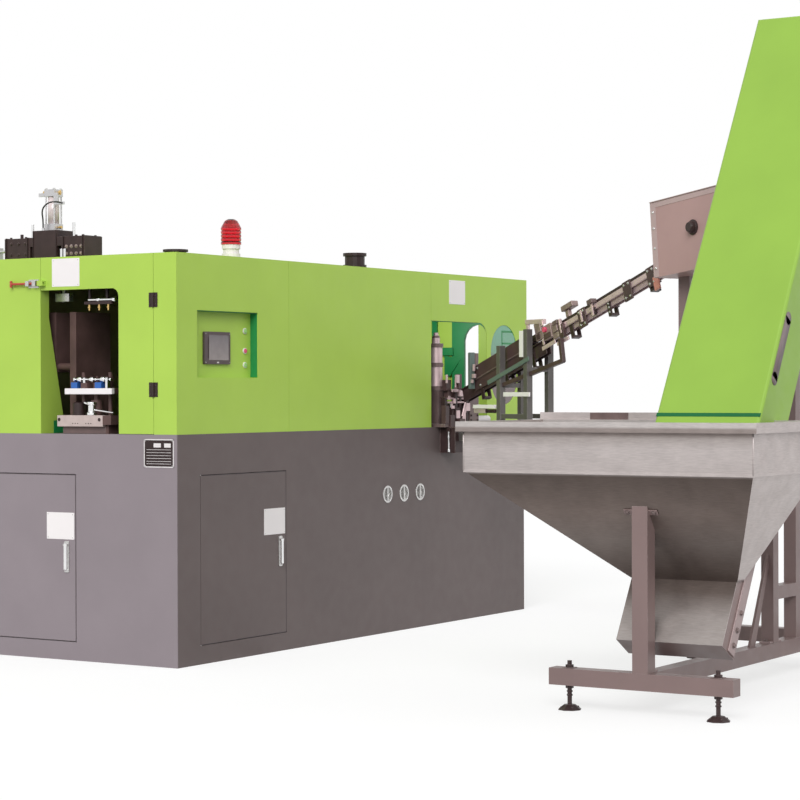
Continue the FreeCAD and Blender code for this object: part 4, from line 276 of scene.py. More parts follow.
# Screen glass painted lighter towards its foot and darker at its top: a painted reflection.
SCREEN_REFLECTION_LEVELS = ((1.48, (0.29, 0.24, 0.235)), (1.56, (0.22, 0.185, 0.19)),
                 (1.61, (0.15, 0.125, 0.14)))
GREEN = (0.43, 0.64, 0.095)
FINISHES = {
    "green": finish("green_paint", GREEN, 0.42, peel=0.12, mottle=0.035, gloss=0.35),
    "green_lined": finish("green_paint_lined", GREEN, 0.42, peel=0.12, mottle=0.035,
                          side=(0.30, 0.17, 0.15)),
    "seam_green": finish("seam_green_paint", (0.004, 0.125, 0.035), 0.45, peel=0.12, mottle=0.08,
                         gloss=0.3),
    "satin": finish("satin_steel", (0.66, 0.50, 0.51), 0.42, metal=0.45, mottle=0.1,
                    mottle_scale=16.0, peel=0.1),
    "worn_iron": finish("worn_iron", (0.30, 0.215, 0.20), 0.45, metal=0.3, mottle=0.25,
                        mottle_scale=16.0, peel=0.2, wear=(0.6, 0.52, 0.5)),
    # the cover green darkened as painted shade, for return flanges, reveals, ribs and frame edges
    # that lie in shade
    "shade_green": finish("green_paint_painted_shade", (0.012, 0.235, 0.065), 0.4, peel=0.12, mottle=0.08),
    "hood_green": finish("hood_green_paint", (0.27, 0.46, 0.056), 0.42, peel=0.12, mottle=0.04,
                         gloss=0.45),
    # One grey paint in a lit and a shaded copy: the end panel and end door are painted lighter, the
    # control side's panel and door darker, as painted light and shade.
    "grey_lit_end": finish("grey_paint_lit_end", (0.265, 0.225, 0.245), 0.5, peel=0.2, mottle=0.05,
                       peel_scale=420.0),
    "grey_shaded_side": finish("grey_paint_shaded_side", (0.126, 0.097, 0.094), 0.5, peel=0.2, mottle=0.05,
                        peel_scale=420.0),
    "frame_grey": finish("frame_grey_paint", (0.20, 0.17, 0.17), 0.5, peel=0.15, mottle=0.06),
    "stand": finish("stand_paint", (0.222, 0.154, 0.147), 0.42, peel=0.2, mottle=0.08,
                    wear=(0.34, 0.28, 0.27)),
    "sorter": finish("sorter_paint", (0.46, 0.29, 0.275), 0.45, peel=0.15, mottle=0.06),
    "stainless": finish("stainless_sheet", (0.56, 0.50, 0.485), 0.42, metal=0.62, mottle=0.08,
                        mottle_scale=2.0, grain=(1, 1, 14), grain_scale=26.0, dirt=0.06),
    # faces turned to the control side take a lighter fixed tone in place of the height tones:
    # painted light on that side of the tub
    "tub": finish("brushed_tub_sheet_painted_shade", (0.56, 0.50, 0.485), 0.4, metal=0.62, mottle=0.08,
                  mottle_scale=2.0, grain=(1, 1, 14), grain_scale=26.0, dirt=0.08,
                  levels=TUB_TONES_AND_SHADE, side=(0.54, 0.48, 0.465)),
    "chute": finish("chute_steel", (0.6, 0.57, 0.55), 0.42, metal=0.35, mottle=0.1,
                    mottle_scale=20.0, peel=0.1, levels=CHUTE_LEVELS),
    "chute_dark": finish("chute_side_plate", (0.072, 0.041, 0.04), 0.45, gloss=0.35, mottle=0.25,
                         mottle_scale=9.0, peel=0.2, wear=(0.25, 0.2, 0.19)),
    "inner_dark": finish("oiled_iron", (0.105, 0.06, 0.055), 0.5, gloss=0.3, mottle=0.25,
                         mottle_scale=9.0, peel=0.2),
    "foot_pink": finish("ground_block", (0.55, 0.45, 0.425), 0.4, metal=0.2, mottle=0.08,
                        mottle_scale=20.0, peel=0.1),
    "post_grey": finish("post_paint", (0.115, 0.105, 0.10), 0.42, metal=0.1, mottle=0.1, peel=0.1,
                        wear=(0.5, 0.47, 0.46)),
    "grey_green": finish("grey_green_paint", (0.12, 0.165, 0.15), 0.4, mottle=0.1, peel=0.1),
    "slot_grey": finish("slot_insert", (0.20, 0.15, 0.152), 0.5, mottle=0.05, peel=0.1),
    "pink": finish("pink_tab", (0.66, 0.27, 0.21), 0.4, mottle=0.06, peel=0.1),
    "steel": finish("turned_steel", (0.62, 0.61, 0.60), 0.28, metal=0.9, mottle=0.05,
                    grain=(8, 1, 1), grain_scale=60.0),
    "bright": finish("polished_rod", (0.80, 0.80, 0.80), 0.16, metal=1.0, mottle=0.03,
                     mottle_scale=20.0),
    "alloy": finish("machined_alloy", (0.62, 0.61, 0.62), 0.38, metal=0.75, mottle=0.05,
                    grain=(1, 6, 1), grain_scale=80.0),
    "black_steel": finish("blackened_steel", (0.038, 0.021, 0.021), 0.42, gloss=0.3, mottle=0.2,
                          peel=0.25, mottle_scale=18.0, wear=(0.2, 0.15, 0.145)),
    "black": finish("black_paint", (0.03, 0.017, 0.017), 0.45, mottle=0.15, peel=0.2, gloss=0.3),
    "machined": finish("machined_iron", (0.155, 0.105, 0.10), 0.45, metal=0.15, mottle=0.16,
                       mottle_scale=14.0, peel=0.2, wear=(0.4, 0.36, 0.34)),
    "brass": finish("fitting_brass", (0.62, 0.43, 0.17), 0.3, metal=0.95, mottle=0.08,
                    mottle_scale=30.0),
    "red": finish("red_paint", (0.45, 0.05, 0.03), 0.4, mottle=0.1, peel=0.2,
                  wear=(0.5, 0.3, 0.25)),
    "white": finish("white_plastic", (0.80, 0.76, 0.76), 0.35, mottle=0.03),
    "white_plate": finish("white_plate", (0.90, 0.86, 0.86), 0.4, mottle=0.03, peel=0.08),
    "panel": finish("panel_plastic", (0.085, 0.058, 0.062), 0.5, peel=0.35, peel_scale=900.0,
                    mottle=0.04),
    "screen": finish("screen_glass", (0.2, 0.17, 0.17), 0.14, mottle=0.08, mottle_scale=24.0,
                     coat=0.5, levels=SCREEN_REFLECTION_LEVELS),
    "green_cap": finish("green_button", (0.33, 0.63, 0.20), 0.3, mottle=0.05, coat=0.3),
    "red_cap": finish("red_button", (0.72, 0.07, 0.17), 0.3, mottle=0.05, coat=0.3),
    "hose": finish("hose_rubber", (0.02, 0.018, 0.018), 0.5, mottle=0.12, peel=0.3),
    "belt": finish("belt_rubber", (0.62, 0.62, 0.57), 0.6, mottle=0.06, peel=0.4, peel_scale=300.0,
                   dirt=0.1),
    "blue": finish("blue_anodised", (0.03, 0.13, 0.45), 0.35, metal=0.3, mottle=0.08),
    "sorter_light": finish("sorter_flange_paint", (0.50, 0.37, 0.36), 0.45, peel=0.3, mottle=0.06),
    "stand_light": finish("stand_bar_paint", (0.36, 0.27, 0.265), 0.45, peel=0.3, mottle=0.06),
    # painted shade of the gaps round the lower doors
    "door_gap_shade": finish("door_gap_painted_shade", (0.10, 0.08, 0.085), 0.5, peel=0.3, mottle=0.05),
    "roller": finish("roller_steel", (0.55, 0.53, 0.52), 0.3, metal=0.85, mottle=0.06,
                     grain=(1, 1, 6)),
    "window": finish("window_glass", (0.2, 0.3, 0.25), 0.1, mottle=0.05, coat=0.5,
                     levels=WINDOW_SHADE_AND_LIGHT, clear=0.2),
    "sleeve": finish("barrel_sleeve", (0.74, 0.63, 0.635), 0.16, mottle=0.06, mottle_scale=12.0,
                     coat=0.5),
    "lens": glassy("red_lens", (0.75, 0.012, 0.03), 0.12),
}

# the CAD pieces that wear each finish
NODE_FINISHES = {
    "green": ["corner_cover", "front_cover", "infeed_cover", "far_cover", "roof", "end_door",
              "end_side_cover"],
    "green_lined": ["back_cover"],
    "hood_green": ["elevator_hood"],
    "frame_grey": ["cover_frame", "base_frame", "machine_bed", "base_rear_panels"],
    "grey_lit_end": ["base_end_panel", "lower_end_door"],
    "grey_shaded_side": ["base_side_panel", "lower_front_door"],
    "stand": ["stand_frame", "elevator_frame"],
    "post_grey": ["chute_stand"],
    "chute": ["chute_rails"],
    "tub": ["hopper_tub"],
    "inner_dark": ["clamp_frame", "lift_table", "mould_half_front", "mould_half_back"],
    "sorter": ["sorter_housing"],
    "steel": ["inspection_ports", "front_handle_plate", "end_handle_plate", "latch_body",
              "infeed_pusher"],
    "bright": ["stretch_carriage", "lower_door_pins", "front_handle_lever", "end_handle_lever"],
    "roller": ["sorter_roller_near", "sorter_roller_far", "foot_drum", "head_drum"],
    "alloy": ["stretch_cylinder"],
    "black_steel": ["blowing_block", "levelling_feet", "chute_clamps"],
    "machined": ["infeed_unit"],
    "black": ["end_hinge_leaves", "end_door_leaves", "exhaust_stub", "roof_vent"],
    "red": ["latch_bolt"],
    "window": ["window_pane"],
    "panel": ["operator_panel"],
    "green_cap": ["start_button", "reset_button"],
    "red_cap": ["stop_button"],
    "white": ["beacon_base", "button_bezels"],
    "lens": ["beacon_dome"],
    "belt": ["elevator_belt"],
}


def dress(thing, key):
    """Gives an object one finish in place of what it had."""
    thing.data.materials.clear()
    thing.data.materials.append(FINISHES[key])


for key, names in NODE_FINISHES.items():
    for name in names:
        dress(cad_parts[name], key)


# ---- mesh pieces
ROUNDED_FROM = math.radians(40)


def piece(name, form, key, body="machine", bevel=0.0, smooth=True):
    """Makes a form a named piece on a CAD body, with a finish, a slot and rounded edges."""
    mesh = bpy.data.meshes.new(name)
    bmesh.ops.recalc_face_normals(form, faces=form.faces)
    form.to_mesh(mesh)
    form.free()
    thing = bpy.data.objects.new(name, mesh)
    bpy.context.collection.objects.link(thing)
    dress(thing, key)
    if smooth:
        for face in mesh.polygons:
            face.use_smooth = True
    if bevel:
        rounding = thing.modifiers.new("rounding", "BEVEL")
        rounding.width = bevel / 1000
        rounding.segments = 2
        rounding.limit_method = "ANGLE"
        rounding.angle_limit = ROUNDED_FROM
        rounding.harden_normals = smooth
    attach(thing, body)


def vertex(form, point, place):
    """Adds a vertex at corner millimetres, or at a placement's own millimetres."""
    return form.verts.new(place @ point if place else at(*point))


def add_box(form, x, y, z, place=None):
    """Adds a box between its (low, high) spans."""
    corners = [vertex(form, Vector((a, b, c)), place) for c in z for b in y for a in x]
    for face in ((0, 2, 3, 1), (4, 5, 7, 6), (0, 1, 5, 4), (2, 6, 7, 3), (0, 4, 6, 2),
                 (1, 3, 7, 5)):
        form.faces.new([corners[i] for i in face])


def add_turned(form, profile, start, end, sides, place=None):
    """Adds a turned form from pairs of radius and share of the way from start to end."""
    start, end = Vector(start), Vector(end)
    line = (end - start).normalized()
    side = line.orthogonal().normalized()
    up = line.cross(side)
    rings = []
    for radius, share in profile:
        middle = start.lerp(end, share)
        loop = []
        for number in range(sides):
            turn = 2 * math.pi * number / sides
            point = middle + side * (radius * math.cos(turn)) + up * (radius * math.sin(turn))
            loop.append(vertex(form, point, place))
        rings.append(loop)
    for low, high in zip(rings, rings[1:]):
        for number in range(sides):
            after = (number + 1) % sides
            form.faces.new((low[number], low[after], high[after], high[number]))
    form.faces.new(rings[0])
    form.faces.new(rings[-1])


def rod(radius):
    """Profile of a plain round bar."""
    return [(radius, 0), (radius, 1)]


def boxes(name, spans, key, body="machine", bevel=1.0, place=None):
    """One piece of boxes, each from its (x, y, z) spans."""
    form = bmesh.new()
    for x, y, z in spans:
        add_box(form, x, y, z, place)
    piece(name, form, key, body, bevel)


def turned(name, forms, key, body="machine", bevel=0.0, place=None):
    """One piece of turned forms, each a profile, a start, an end and a number of sides."""
    form = bmesh.new()
    for profile, start, end, sides in forms:
        add_turned(form, profile, start, end, sides, place)
    piece(name, form, key, body, bevel)


def rods(name, runs, radius, key, body="machine", bevel=0.6, sides=24, place=None):
    """One piece of round bars between pairs of points."""
    turned(name, [(rod(radius), start, end, sides) for start, end in runs], key, body, bevel,
           place)


WASHER_HEIGHT = 1.2
WASHER_REACH = 1.45
HEAD_SHOULDER, HEAD_TOP = 0.85, 0.86


def bolts(name, places, direction, key="black_steel", body="machine", radius=6.0,
          height=5.0, place=None, washer=True):
    """Hexagon heads on washers at points on a face, standing out along a direction."""
    form = bmesh.new()
    out = Vector(direction).normalized()
    for spot in places:
        spot = Vector(spot)
        foot = spot + out * WASHER_HEIGHT
        if washer:
            add_turned(form, rod(radius * WASHER_REACH), spot, foot, 24, place)
        top = spot + out * (WASHER_HEIGHT + height)
        hexagon = [(radius, 0), (radius, HEAD_SHOULDER), (radius * HEAD_TOP, 1)]
        add_turned(form, hexagon, foot, top, 6, place)
    piece(name, form, key, body, 0.3, smooth=False)


def placement(origin, x_axis, y_axis, z_axis):
    """Matrix from a tilted part's own millimetres to the row frame's metres."""
    turn = Matrix((x_axis, y_axis, z_axis)).transposed().to_4x4()
    return Matrix.Translation(at(*origin)) @ turn @ Matrix.Scale(0.001, 4)


chute_line = (Vector(CHUTE_HIGH) - Vector(CHUTE_LOW)).normalized()
chute_side = Vector((0, 0, 1)).cross(chute_line).normalized()
CHUTE = placement(CHUTE_LOW, chute_line, chute_side, chute_line.cross(chute_side))
CHUTE_LENGTH = (Vector(CHUTE_HIGH) - Vector(CHUTE_LOW)).length
lean = math.radians(ELEVATOR_LEAN)
ELEVATOR = placement((ELEVATOR_FOOT[0], 0, ELEVATOR_FOOT[1]), (math.cos(lean), 0, -math.sin(lean)),
                     (0, 1, 0), (math.sin(lean), 0, math.cos(lean)))
heading = math.atan2(chute_line.y, chute_line.x)
tilt = math.radians(SORTER_TILT)
sorter_line = Vector((math.cos(heading) * math.cos(tilt), math.sin(heading) * math.cos(tilt),
                      math.sin(tilt)))
sorter_side = Vector((-math.sin(heading), math.cos(heading), 0))
SORTER = placement(CHUTE_HIGH, sorter_line, sorter_side, sorter_line.cross(sorter_side))

# ---- air hose of the blowing unit
curve = bpy.data.curves.new("black_air_hose", "CURVE")
curve.dimensions = "3D"
curve.bevel_depth = HOSE_DIAMETER / 2 / 1000
curve.bevel_resolution = 4
curve.use_fill_caps = True
curve.resolution_u = 8
line = curve.splines.new("NURBS")
line.points.add(len(HOSE_ROUTE) - 1)
for knot, point in zip(line.points, HOSE_ROUTE):
    knot.co = (*at(*point), 1)
line.order_u = 3
line.use_endpoint_u = True
hose = bpy.data.objects.new("black_air_hose", curve)
bpy.context.collection.objects.link(hose)
dress(hose, "hose")
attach(hose, "machine")
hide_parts("air_hose")

# ---- plates and the panel's screen
PLATE = (-1.2, 0)
PLATE_RULE = (-2, -1.2)
PLATE_RIM = (-2, 0)
RIVET_INSET = 9
RIVET_RADIUS = 2.6
RIM_WIDTH = 5


def across(flat, wide, tall, face_x):
    """(x, y, z) of a thing on the end face, whose thin way is X, or on the control side."""
    return (flat, wide, tall) if face_x else (wide, flat, tall)


def plate(name, wide, tall, body, face_x=True, key="white_plate", rim=False):
    """Bare plate on a face, with a rivet near each corner and an optional raised rim."""
    boxes(name, [across(PLATE, wide, tall, face_x)], key, body, 0.4)
    rivets = [[across(flat, a, b, face_x) for flat in (PLATE[0], 2 * PLATE[0])]
              for a in (wide[0] + RIVET_INSET, wide[1] - RIVET_INSET)
              for b in (tall[0] + RIVET_INSET, tall[1] - RIVET_INSET)]
    rods(name + "_rivets", rivets, RIVET_RADIUS, "steel", body, bevel=0.3, sides=12)
    if rim:
        edge = [(wide, (tall[0], tall[0] + RIM_WIDTH)), (wide, (tall[1] - RIM_WIDTH, tall[1])),
                ((wide[0], wide[0] + RIM_WIDTH), tall), ((wide[1] - RIM_WIDTH, wide[1]), tall)]
        boxes(name + "_rim", [across(PLATE_RIM, a, b, face_x) for a, b in edge], "white", body,
              0.2)


plate("header_plate", (601, 778), (1852, 1991), "end_door")
plate("end_door_plate", (640, 817), (598, 731), "end_lower_door")
plate("front_door_plate", (716, 900), (600, 733), "front_lower_door", face_x=False)
plate("infeed_plate", (2550, 2731), (1828, 1966), "machine", face_x=False)
plate("data_plate", (18, 200), (963, 1100), "machine", key="black", rim=True)

rules = [(PLATE_RULE, (34, 184), (z, z + 2)) for z in (1048, 1034, 1020, 1006, 992, 980)]
rules += [(PLATE_RULE, y, (1060, 1080)) for y in ((36, 76), (96, 140))]
boxes("data_plate_rules", rules, "white", bevel=0.2)
boxes("screen_glass", [((302, 463), (32, 33.2), (1484, 1608))], "screen", bevel=0.3)
boxes("panel_foot_key", [((368, 384), (32.3, 33.2), (1469, 1476))], "white", bevel=0.3)
bolts("panel_screws", [(x, 33, z) for x in (PANEL_X[0] + 9, PANEL_X[1] - 9) for z in (1473, 1615)],
      FRONTWARD, "steel", radius=3, height=1.6, washer=False)

# ---- painted shade on the recess's edges, the infeed opening and the doorway's reveal: thin dark green strips where the return flanges lie in shade
boxes("recess_edge_shade", [
    ((RECESS[0] + 3, RECESS[1] - 3), (4, 44.6), (RECESS[3] - 3.4, RECESS[3] - 0.4)),
    ((RECESS[1] - 3.4, RECESS[1] - 0.4), (4, 44.6), (RECESS[2] + 3, RECESS[3] - 4)),
], "shade_green", bevel=0.3)
boxes("reveal_foot_shade", [((96, 172), (853.2, 854.6), (1123, 1186))], "shade_green", bevel=0.2)

# ---- roof unit: barrel sleeve, nuts, fittings, bolts
turned("barrel_sleeve", [(rod(29.2), (UNIT_X, UNIT_Y, UNIT_DECK + 36.4),
                          (UNIT_X, UNIT_Y, UNIT_DECK + 175.6), 48)], "sleeve")
corners = [(UNIT_X + a * 25.5, UNIT_Y + b * 25.5) for a in (-1, 1) for b in (-1, 1)]
bolts("cylinder_nuts", [(x, y, UNIT_DECK + 212) for x, y in corners], UPWARD, "steel", radius=7,
      height=6)
side = [(190, y, MACHINE_TOP + z) for y in (750, 782, 814, 846) for z in (30, 66)]
bolts("unit_side_bolts", side, ENDWARD, "worn_iron", radius=6.5, height=6)
side = [(190, y, MACHINE_TOP + z) for y in (1120, 1166, 1214) for z in (34, 90)]
bolts("unit_side_bolts_left", side, ENDWARD, radius=6.5, height=6)
top = [(x, y, MACHINE_TOP + 118) for x in (212, 308) for y in (755, 800, 1135, 1235)]
bolts("unit_top_bolts", top, UPWARD, radius=7, height=7)
ribs = [((184, 336), (y, y + 4), (2003, 2121)) for y in (738, 864, 1102, 1246)]
ribs += [((186, 334), (y, y + 4), (2003, 2149)) for y in (912, 1064)]
boxes("unit_ribs", ribs, "black")
rods("unit_bright_post", [((183, y, MACHINE_TOP + 3), (183, y, MACHINE_TOP + 54))
                          for y in (850, 872)], 8, "bright")
union = [(5, 0), (5, 0.3), (8, 0.3), (8, 0.7), (6.5, 0.7), (6.5, 1)]
elbow = [(5, 0), (5, 0.4), (7.5, 0.4), (7.5, 1)]
fittings = []
for side in (-1, 1):
    x, y, z = UNIT_X - 12, UNIT_Y + side * 33, UNIT_DECK + 194
    fittings.append((union, (x, y, z), (x, y + side * 26, z), 12))
    fittings.append((rod(6), (x, y + side * 20, z - 12), (x, y + side * 20, z + 12), 6))
for side in (-1, 1):
    y, z = UNIT_Y + side * 33, UNIT_DECK + 18
    fittings.append((elbow, (UNIT_X, y, z), (UNIT_X, y + side * 20, z), 12))
turned("air_fittings_brass", fittings, "brass", bevel=0.4)

# ---- behind the doorway
rods("guide_bar", [((60, 424, 1785), (60, 592, 1785))], 8, "bright")
rods("guide_bar_end", [((60, 420, 1785), (60, 438, 1785)), ((60, 520, 1785), (60, 534, 1785))], 13,
     "bright", bevel=1.5)
boxes("guide_bar_hangers", [((54, 66), (y, y + 12), (1785, 1997)) for y in (468, 578)], "black")
boxes("air_manifold", [((48, 72), (440, 612), (1762, 1776))], "black_steel")
union = [(6, 0), (6, 0.35), (9, 0.35), (9, 0.6), (5, 0.6), (5, 1)]
turned("manifold_fittings", [(union, (60, y, 1762), (60, y, 1732), 12) for y in (467, 525, 588)],
       "brass", bevel=0.4)
boxes("inner_post", [((205, 250), (452, 520), (BED_TOP, 1990)),
                     ((200, 255), (446, 526), (BED_TOP, 1134))], "inner_dark")
boxes("inner_bracket", [((92, 128), (748, 838), (1782, 1824)),
                        ((104, 116), (786, 800), (1824, 1997))], "steel", bevel=2)
boxes("lift_plate_skin", [((39, 62), (432, 733), (1317.4, 1346.8))], "white_plate", "lift_table",
      bevel=2)
boxes("foot_block_skin", [((28.6, 90), (482, 774), (1157, 1213.4))], "foot_pink", bevel=3)
boxes("pedestal_skin", [((53.6, 100), (482, 757), (1122.3, 1156.6))], "machined",
      bevel=2)
rods("foot_block_holes", [((28, y, 1192), (28.9, y, 1192)) for y in (503, 760)], 9, "black",
     bevel=0.2)
dowels = [((28, y, 1173), (28.9, y, 1173)) for y in (556, 572, 588, 640, 656, 672)]
rods("foot_block_dowels", dowels, 3, "black", bevel=0.2, sides=12)
boot = [(34, 0), (34, 0.12), (30, 0.12), (30, 0.9), (22, 1)]
turned("guide_boot", [(boot, (72, 668, 1213.5), (72, 668, 1279), 28)], "black", bevel=1)
valve = [(26, 0), (26, 0.2), (20, 0.25), (20, 0.75), (25, 0.8), (25, 1)]
turned("table_valve", [
    (valve, (60, 575, 1214), (60, 575, 1279), 28), (rod(4), (60, 556, 1240), (60, 440, 1226), 12),
    (rod(6), (60, 596, 1268), (60, 622, 1276), 12),
], "bright", bevel=0.6)
boxes("blue_blocks", [((46, 84), (y, y + 40), (LIFT_TOP, 1377)) for y in (658, 506)], "blue",
      "lift_table", bevel=2)
runs = [(rod(5), (64, 694, 1391), (64, 456, 1391), 16)]
for y, r, width in ((690, 12, 10), (666, 14, 26), (628, 9, 12), (590, 13, 26), (556, 8, 10),
                    (520, 14, 28), (484, 11, 14), (462, 9, 10)):
    nut = [(r * 0.8, 0), (r, 0.15), (r, 0.85), (r * 0.8, 1)]
    runs.append((nut, (64, y, 1391), (64, y - width, 1391), 20))
turned("table_fittings", runs, "bright", "lift_table", bevel=0.5)
boxes("table_clips", [((52, 78), (y, y + 14), (LIFT_TOP, 1400)) for y in (612, 470)], "bright",
      "lift_table", bevel=1.5)

# ---- strips that close the gap under the back and far covers from inside
SEAL = (1122.2, 1138)
boxes("cover_seam_seals", [((12, 3458), (1984, 1996), SEAL), ((3452, 3464), (640, 1984), SEAL)],
      "black")

# ---- infeed bay: inner ribs on the far cover, dark green with painted shade, and the gear on the infeed plate
boxes("far_ribs", [
    ((3450, 3467), (627, 663), (1126, 1985)), ((3450, 3467), (474, 518), (1126, 1985)),
    ((3440, 3450), (506, 600), (1548, 1597)),
], "shade_green")
boxes("far_post", [((3450, 3467), (270, 328), (1126, 1985))], "green")


def outlined(name, corners, x):
    """Flat piece across X from its (y, z) corners, dark green with painted shade."""
    form = bmesh.new()
    rings = [[form.verts.new(at(a, y, z)) for y, z in corners] for a in x]
    for ring in rings:
        form.faces.new(ring)
    for number in range(len(corners)):
        after = (number + 1) % len(corners)
        form.faces.new((rings[0][number], rings[0][after], rings[1][after], rings[1][number]))
    piece(name, form, "shade_green", bevel=0.5, smooth=False)


outlined("far_gusset", ((569, 1548), (452, 1525), (532, 1417), (569, 1427)), (3444, 3450))
arch = [(292, 1722), (314, 1735), (345, 1733), (375, 1722), (400, 1703), (418, 1676), (428, 1640)]
outlined("arch_flange", [(472, 1126), (472, 1760), (270, 1760), (270, 1690), *arch, (428, 1126)],
         (3446, 3466.5))
# painted shade on the infeed opening's reveal and along its top
boxes("infeed_reveal_shade", [((INFEED[0] - 1, INFEED[0] + 3), (3.2, 22), (1124, 1727)),
                        ((INFEED[0] + 4, INFEED[1] - 92), (3.2, 20), (1724.6, 1728.6))],
      "shade_green", bevel=0.3)
# dark green lines of painted shade along the window frame's edges
boxes("window_frame_shade_lines", [
    ((3165, 3339), (2.4, 3.2), (1676, 1688)), ((3165, 3176), (2.4, 3.2), (1590, 1676)),
    ((3326, 3339), (2.4, 3.2), (1612, 1650)), ((3170, 3339), (2.4, 3.2), (1606, 1616)),
], "shade_green", bevel=0.3)
neck = [(22.8, 0), (22.8, 0.5), (14, 0.5), (14, 1)]
turned("escape_sleeve", [
    (rod(36.9), (2478, 45, 1355.4), (2478, 45, 1466), 40),
    (rod(36.9), (2478, 45, 1489), (2478, 45, 1577.6), 40),
    (neck, (2478, 45, 1600.4), (2478, 45, 1662), 32),
], "satin", bevel=0.6)
boxes("infeed_box_skin", [((2444.4, 2600.6), (-100.6, -0.4), (974.4, 1121.6))], "black_steel",
      bevel=3)
rods("box_rod", [((2434, -64, 985), (2434, -64, 1108))], 6, "bright")
rods("box_rod_ends", [((2434, -64, 980), (2434, -64, 996)), ((2434, -64, 1060), (2434, -64, 1074))],
     10, "bright")
boxes("box_rod_bracket", [((2428, 2446), (-74, -54), (1096, 1116))], "black_steel")
boxes("infeed_blocks", [
    ((2530, 2580), (-52, -12), (DECK, 1232)), ((2596, 2648), (-48, 24), (DECK, 1206)),
    ((2540, 2566), (-46, -20), (1232, 1320)), ((2600, 2622), (-40, -16), (1206, 1352)),
    ((2420, 2442), (-50, -20), (DECK, 1290)), ((2662, 2686), (-50, -10), (DECK, 1300)),
], "black_steel", bevel=2)
boxes("infeed_bright_blocks", [
    ((2575, 2640), (-58, -36), (1296, 1336)), ((2536, 2572), (-60, -52), (1170, 1216)),
    ((2606, 2644), (-56, -48), (1150, 1196)), ((2650, 2690), (-58, -46), (1212, 1258)),
], "satin", bevel=2)
rods("infeed_rods", [
    ((2555, -40, 1320), (2555, -40, 1398)), ((2611, -28, 1352), (2611, -28, 1420)),
    ((2431, -36, 1262), (2690, -36, 1262)), ((2431, -30, 1284), (2680, -30, 1284)),
    ((2588, -20, DECK), (2588, -20, 1300)), ((2650, 10, DECK), (2650, 10, 1330)),
], 6, "satin")
rods("infeed_nuts", [
    ((2448, -36, 1262), (2460, -36, 1262)), ((2520, -36, 1262), (2530, -36, 1262)),
    ((2555, -40, 1340), (2555, -40, 1350)), ((2611, -28, 1372), (2611, -28, 1382)),
    ((2588, -20, 1180), (2588, -20, 1192)),
], 11, "machined", sides=6, bevel=0.4)
boxes("gear_blocks", [
    ((2462, 2516), (-34, -4), (1330, 1392)), ((2486, 2560), (-30, -2), (1290, 1330)),
    ((2556, 2592), (-60, -36), (1340, 1424)), ((2510, 2572), (-44, -8), (DECK, 1222)),
    ((2400, 2440), (-66, -36), (DECK, 1244)), ((2450, 2496), (-70, -40), (BED_TOP, 1190)),
    ((2540, 2600), (-78, -50), (1112, 1168)),
], "chute_dark", bevel=2)
boxes("gear_bright", [
    ((2528, 2556), (-66, -50), (1372, 1420)), ((2494, 2560), (-56, -46), (1322, 1338)),
    ((2462, 2480), (-50, -44), (1276, 1300)), ((2508, 2526), (-60, -50), (1256, 1284)),
    ((2488, 2514), (-58, -48), (1226, 1244)), ((2440, 2452), (-50, -40), (1372, 1420)),
    ((2456, 2466), (-74, -66), (1226, 1256)),
], "satin", bevel=2)
rods("gear_links", [((2600, -60, 1168), (2642, -60, 1252)), ((2614, -56, 1162), (2656, -56, 1246)),
                    ((2588, -62, 1182), (2626, -62, 1262))], 5, "satin")
rods("reject_tube", [((2770, -24, 1162), (2948, -24, 1162))], 22, "white", bevel=2)
rods("reject_tube_end", [((2930, -24, 1162), (2956, -24, 1162))], 15, "bright", bevel=2)
bolts("infeed_plate_bolts", [(x, y, DECK) for x in (2412, 2705, 2945) for y in (-48, 145)], UPWARD,
      radius=7, height=6)
bolts("fork_bolts", [(x, -55, z) for x in (2704, 2776) for z in (1158, 1186)], FRONTWARD)

# ---- chute: bolts, side plates, bars, knobs, preform sensors and the blocks round its middle
KNOBS = [share * CHUTE_LENGTH for share in (0.36, 0.55, 0.72)]
SENSORS = [share * CHUTE_LENGTH for share in (0.43, 0.5, 0.61, 0.66)]
yoke = KNOBS[-1]
bolts("yoke_bolts_0", [(yoke, -24, z) for z in (-14, -34, -60)], FRONTWARD, "steel", radius=4.5,
      height=4, place=CHUTE)
bolts("arm_bolts_0", [(yoke, 36, z) for z in (-20, 8)], BACKWARD, "steel", radius=4.5, height=4,
      place=CHUTE)
boxes("chute_side_plates", [((150, 752), (y, y + 3.4), (-58, 80)) for y in (-28, 24.6)],
      "chute_dark", bevel=0.8, place=CHUTE)
boxes("chute_plate_ribs", [((150, 752), (y, y + 3), (2, 9)) for y in (-31, 28)], "machined",
      bevel=0.6, place=CHUTE)
bolts("side_plate_bolts", [(x, -28, z) for x in (207, 465, 700) for z in (-40, 60)], FRONTWARD,
      "steel", radius=5, height=4, place=CHUTE)
boxes("chute_inclined_bar", [((372, 800), (-94, -88.2), (-94, -70))], "grey_green", place=CHUTE)
rods("chute_arm", [((470, -62, -128), (1066, -62, -183)), ((1060, -62, -190), (1078, -62, -62))],
     16, "chute_dark", sides=4, bevel=1, place=CHUTE)
boxes("exit_tab", [((1895, 1938), (-36, -24.6), (-92, -22))], "pink", bevel=2, place=CHUTE)
STAND = placement((CHUTE_LOW[0], CHUTE_LOW[1], 0),
                  Vector((chute_line.x, chute_line.y, 0)).normalized(), chute_side, (0, 0, 1))
boxes("stand_white_bars", [
    ((541, 795), (-96, -88.2), (1296, 1320)), ((227, 444), (-92, -62), (1229, 1250)),
], "white_plate", bevel=1.5, place=STAND)
boxes("stand_lower_bar", [((227, 340), (-86, -66), (1203, 1228))], "foot_pink", bevel=1.5,
      place=STAND)
rods("stand_roller", [((346, -76, 1215), (380, -76, 1215)), ((386, -76, 1215), (436, -76, 1215))],
     11, "black_steel", bevel=1.5, place=STAND)
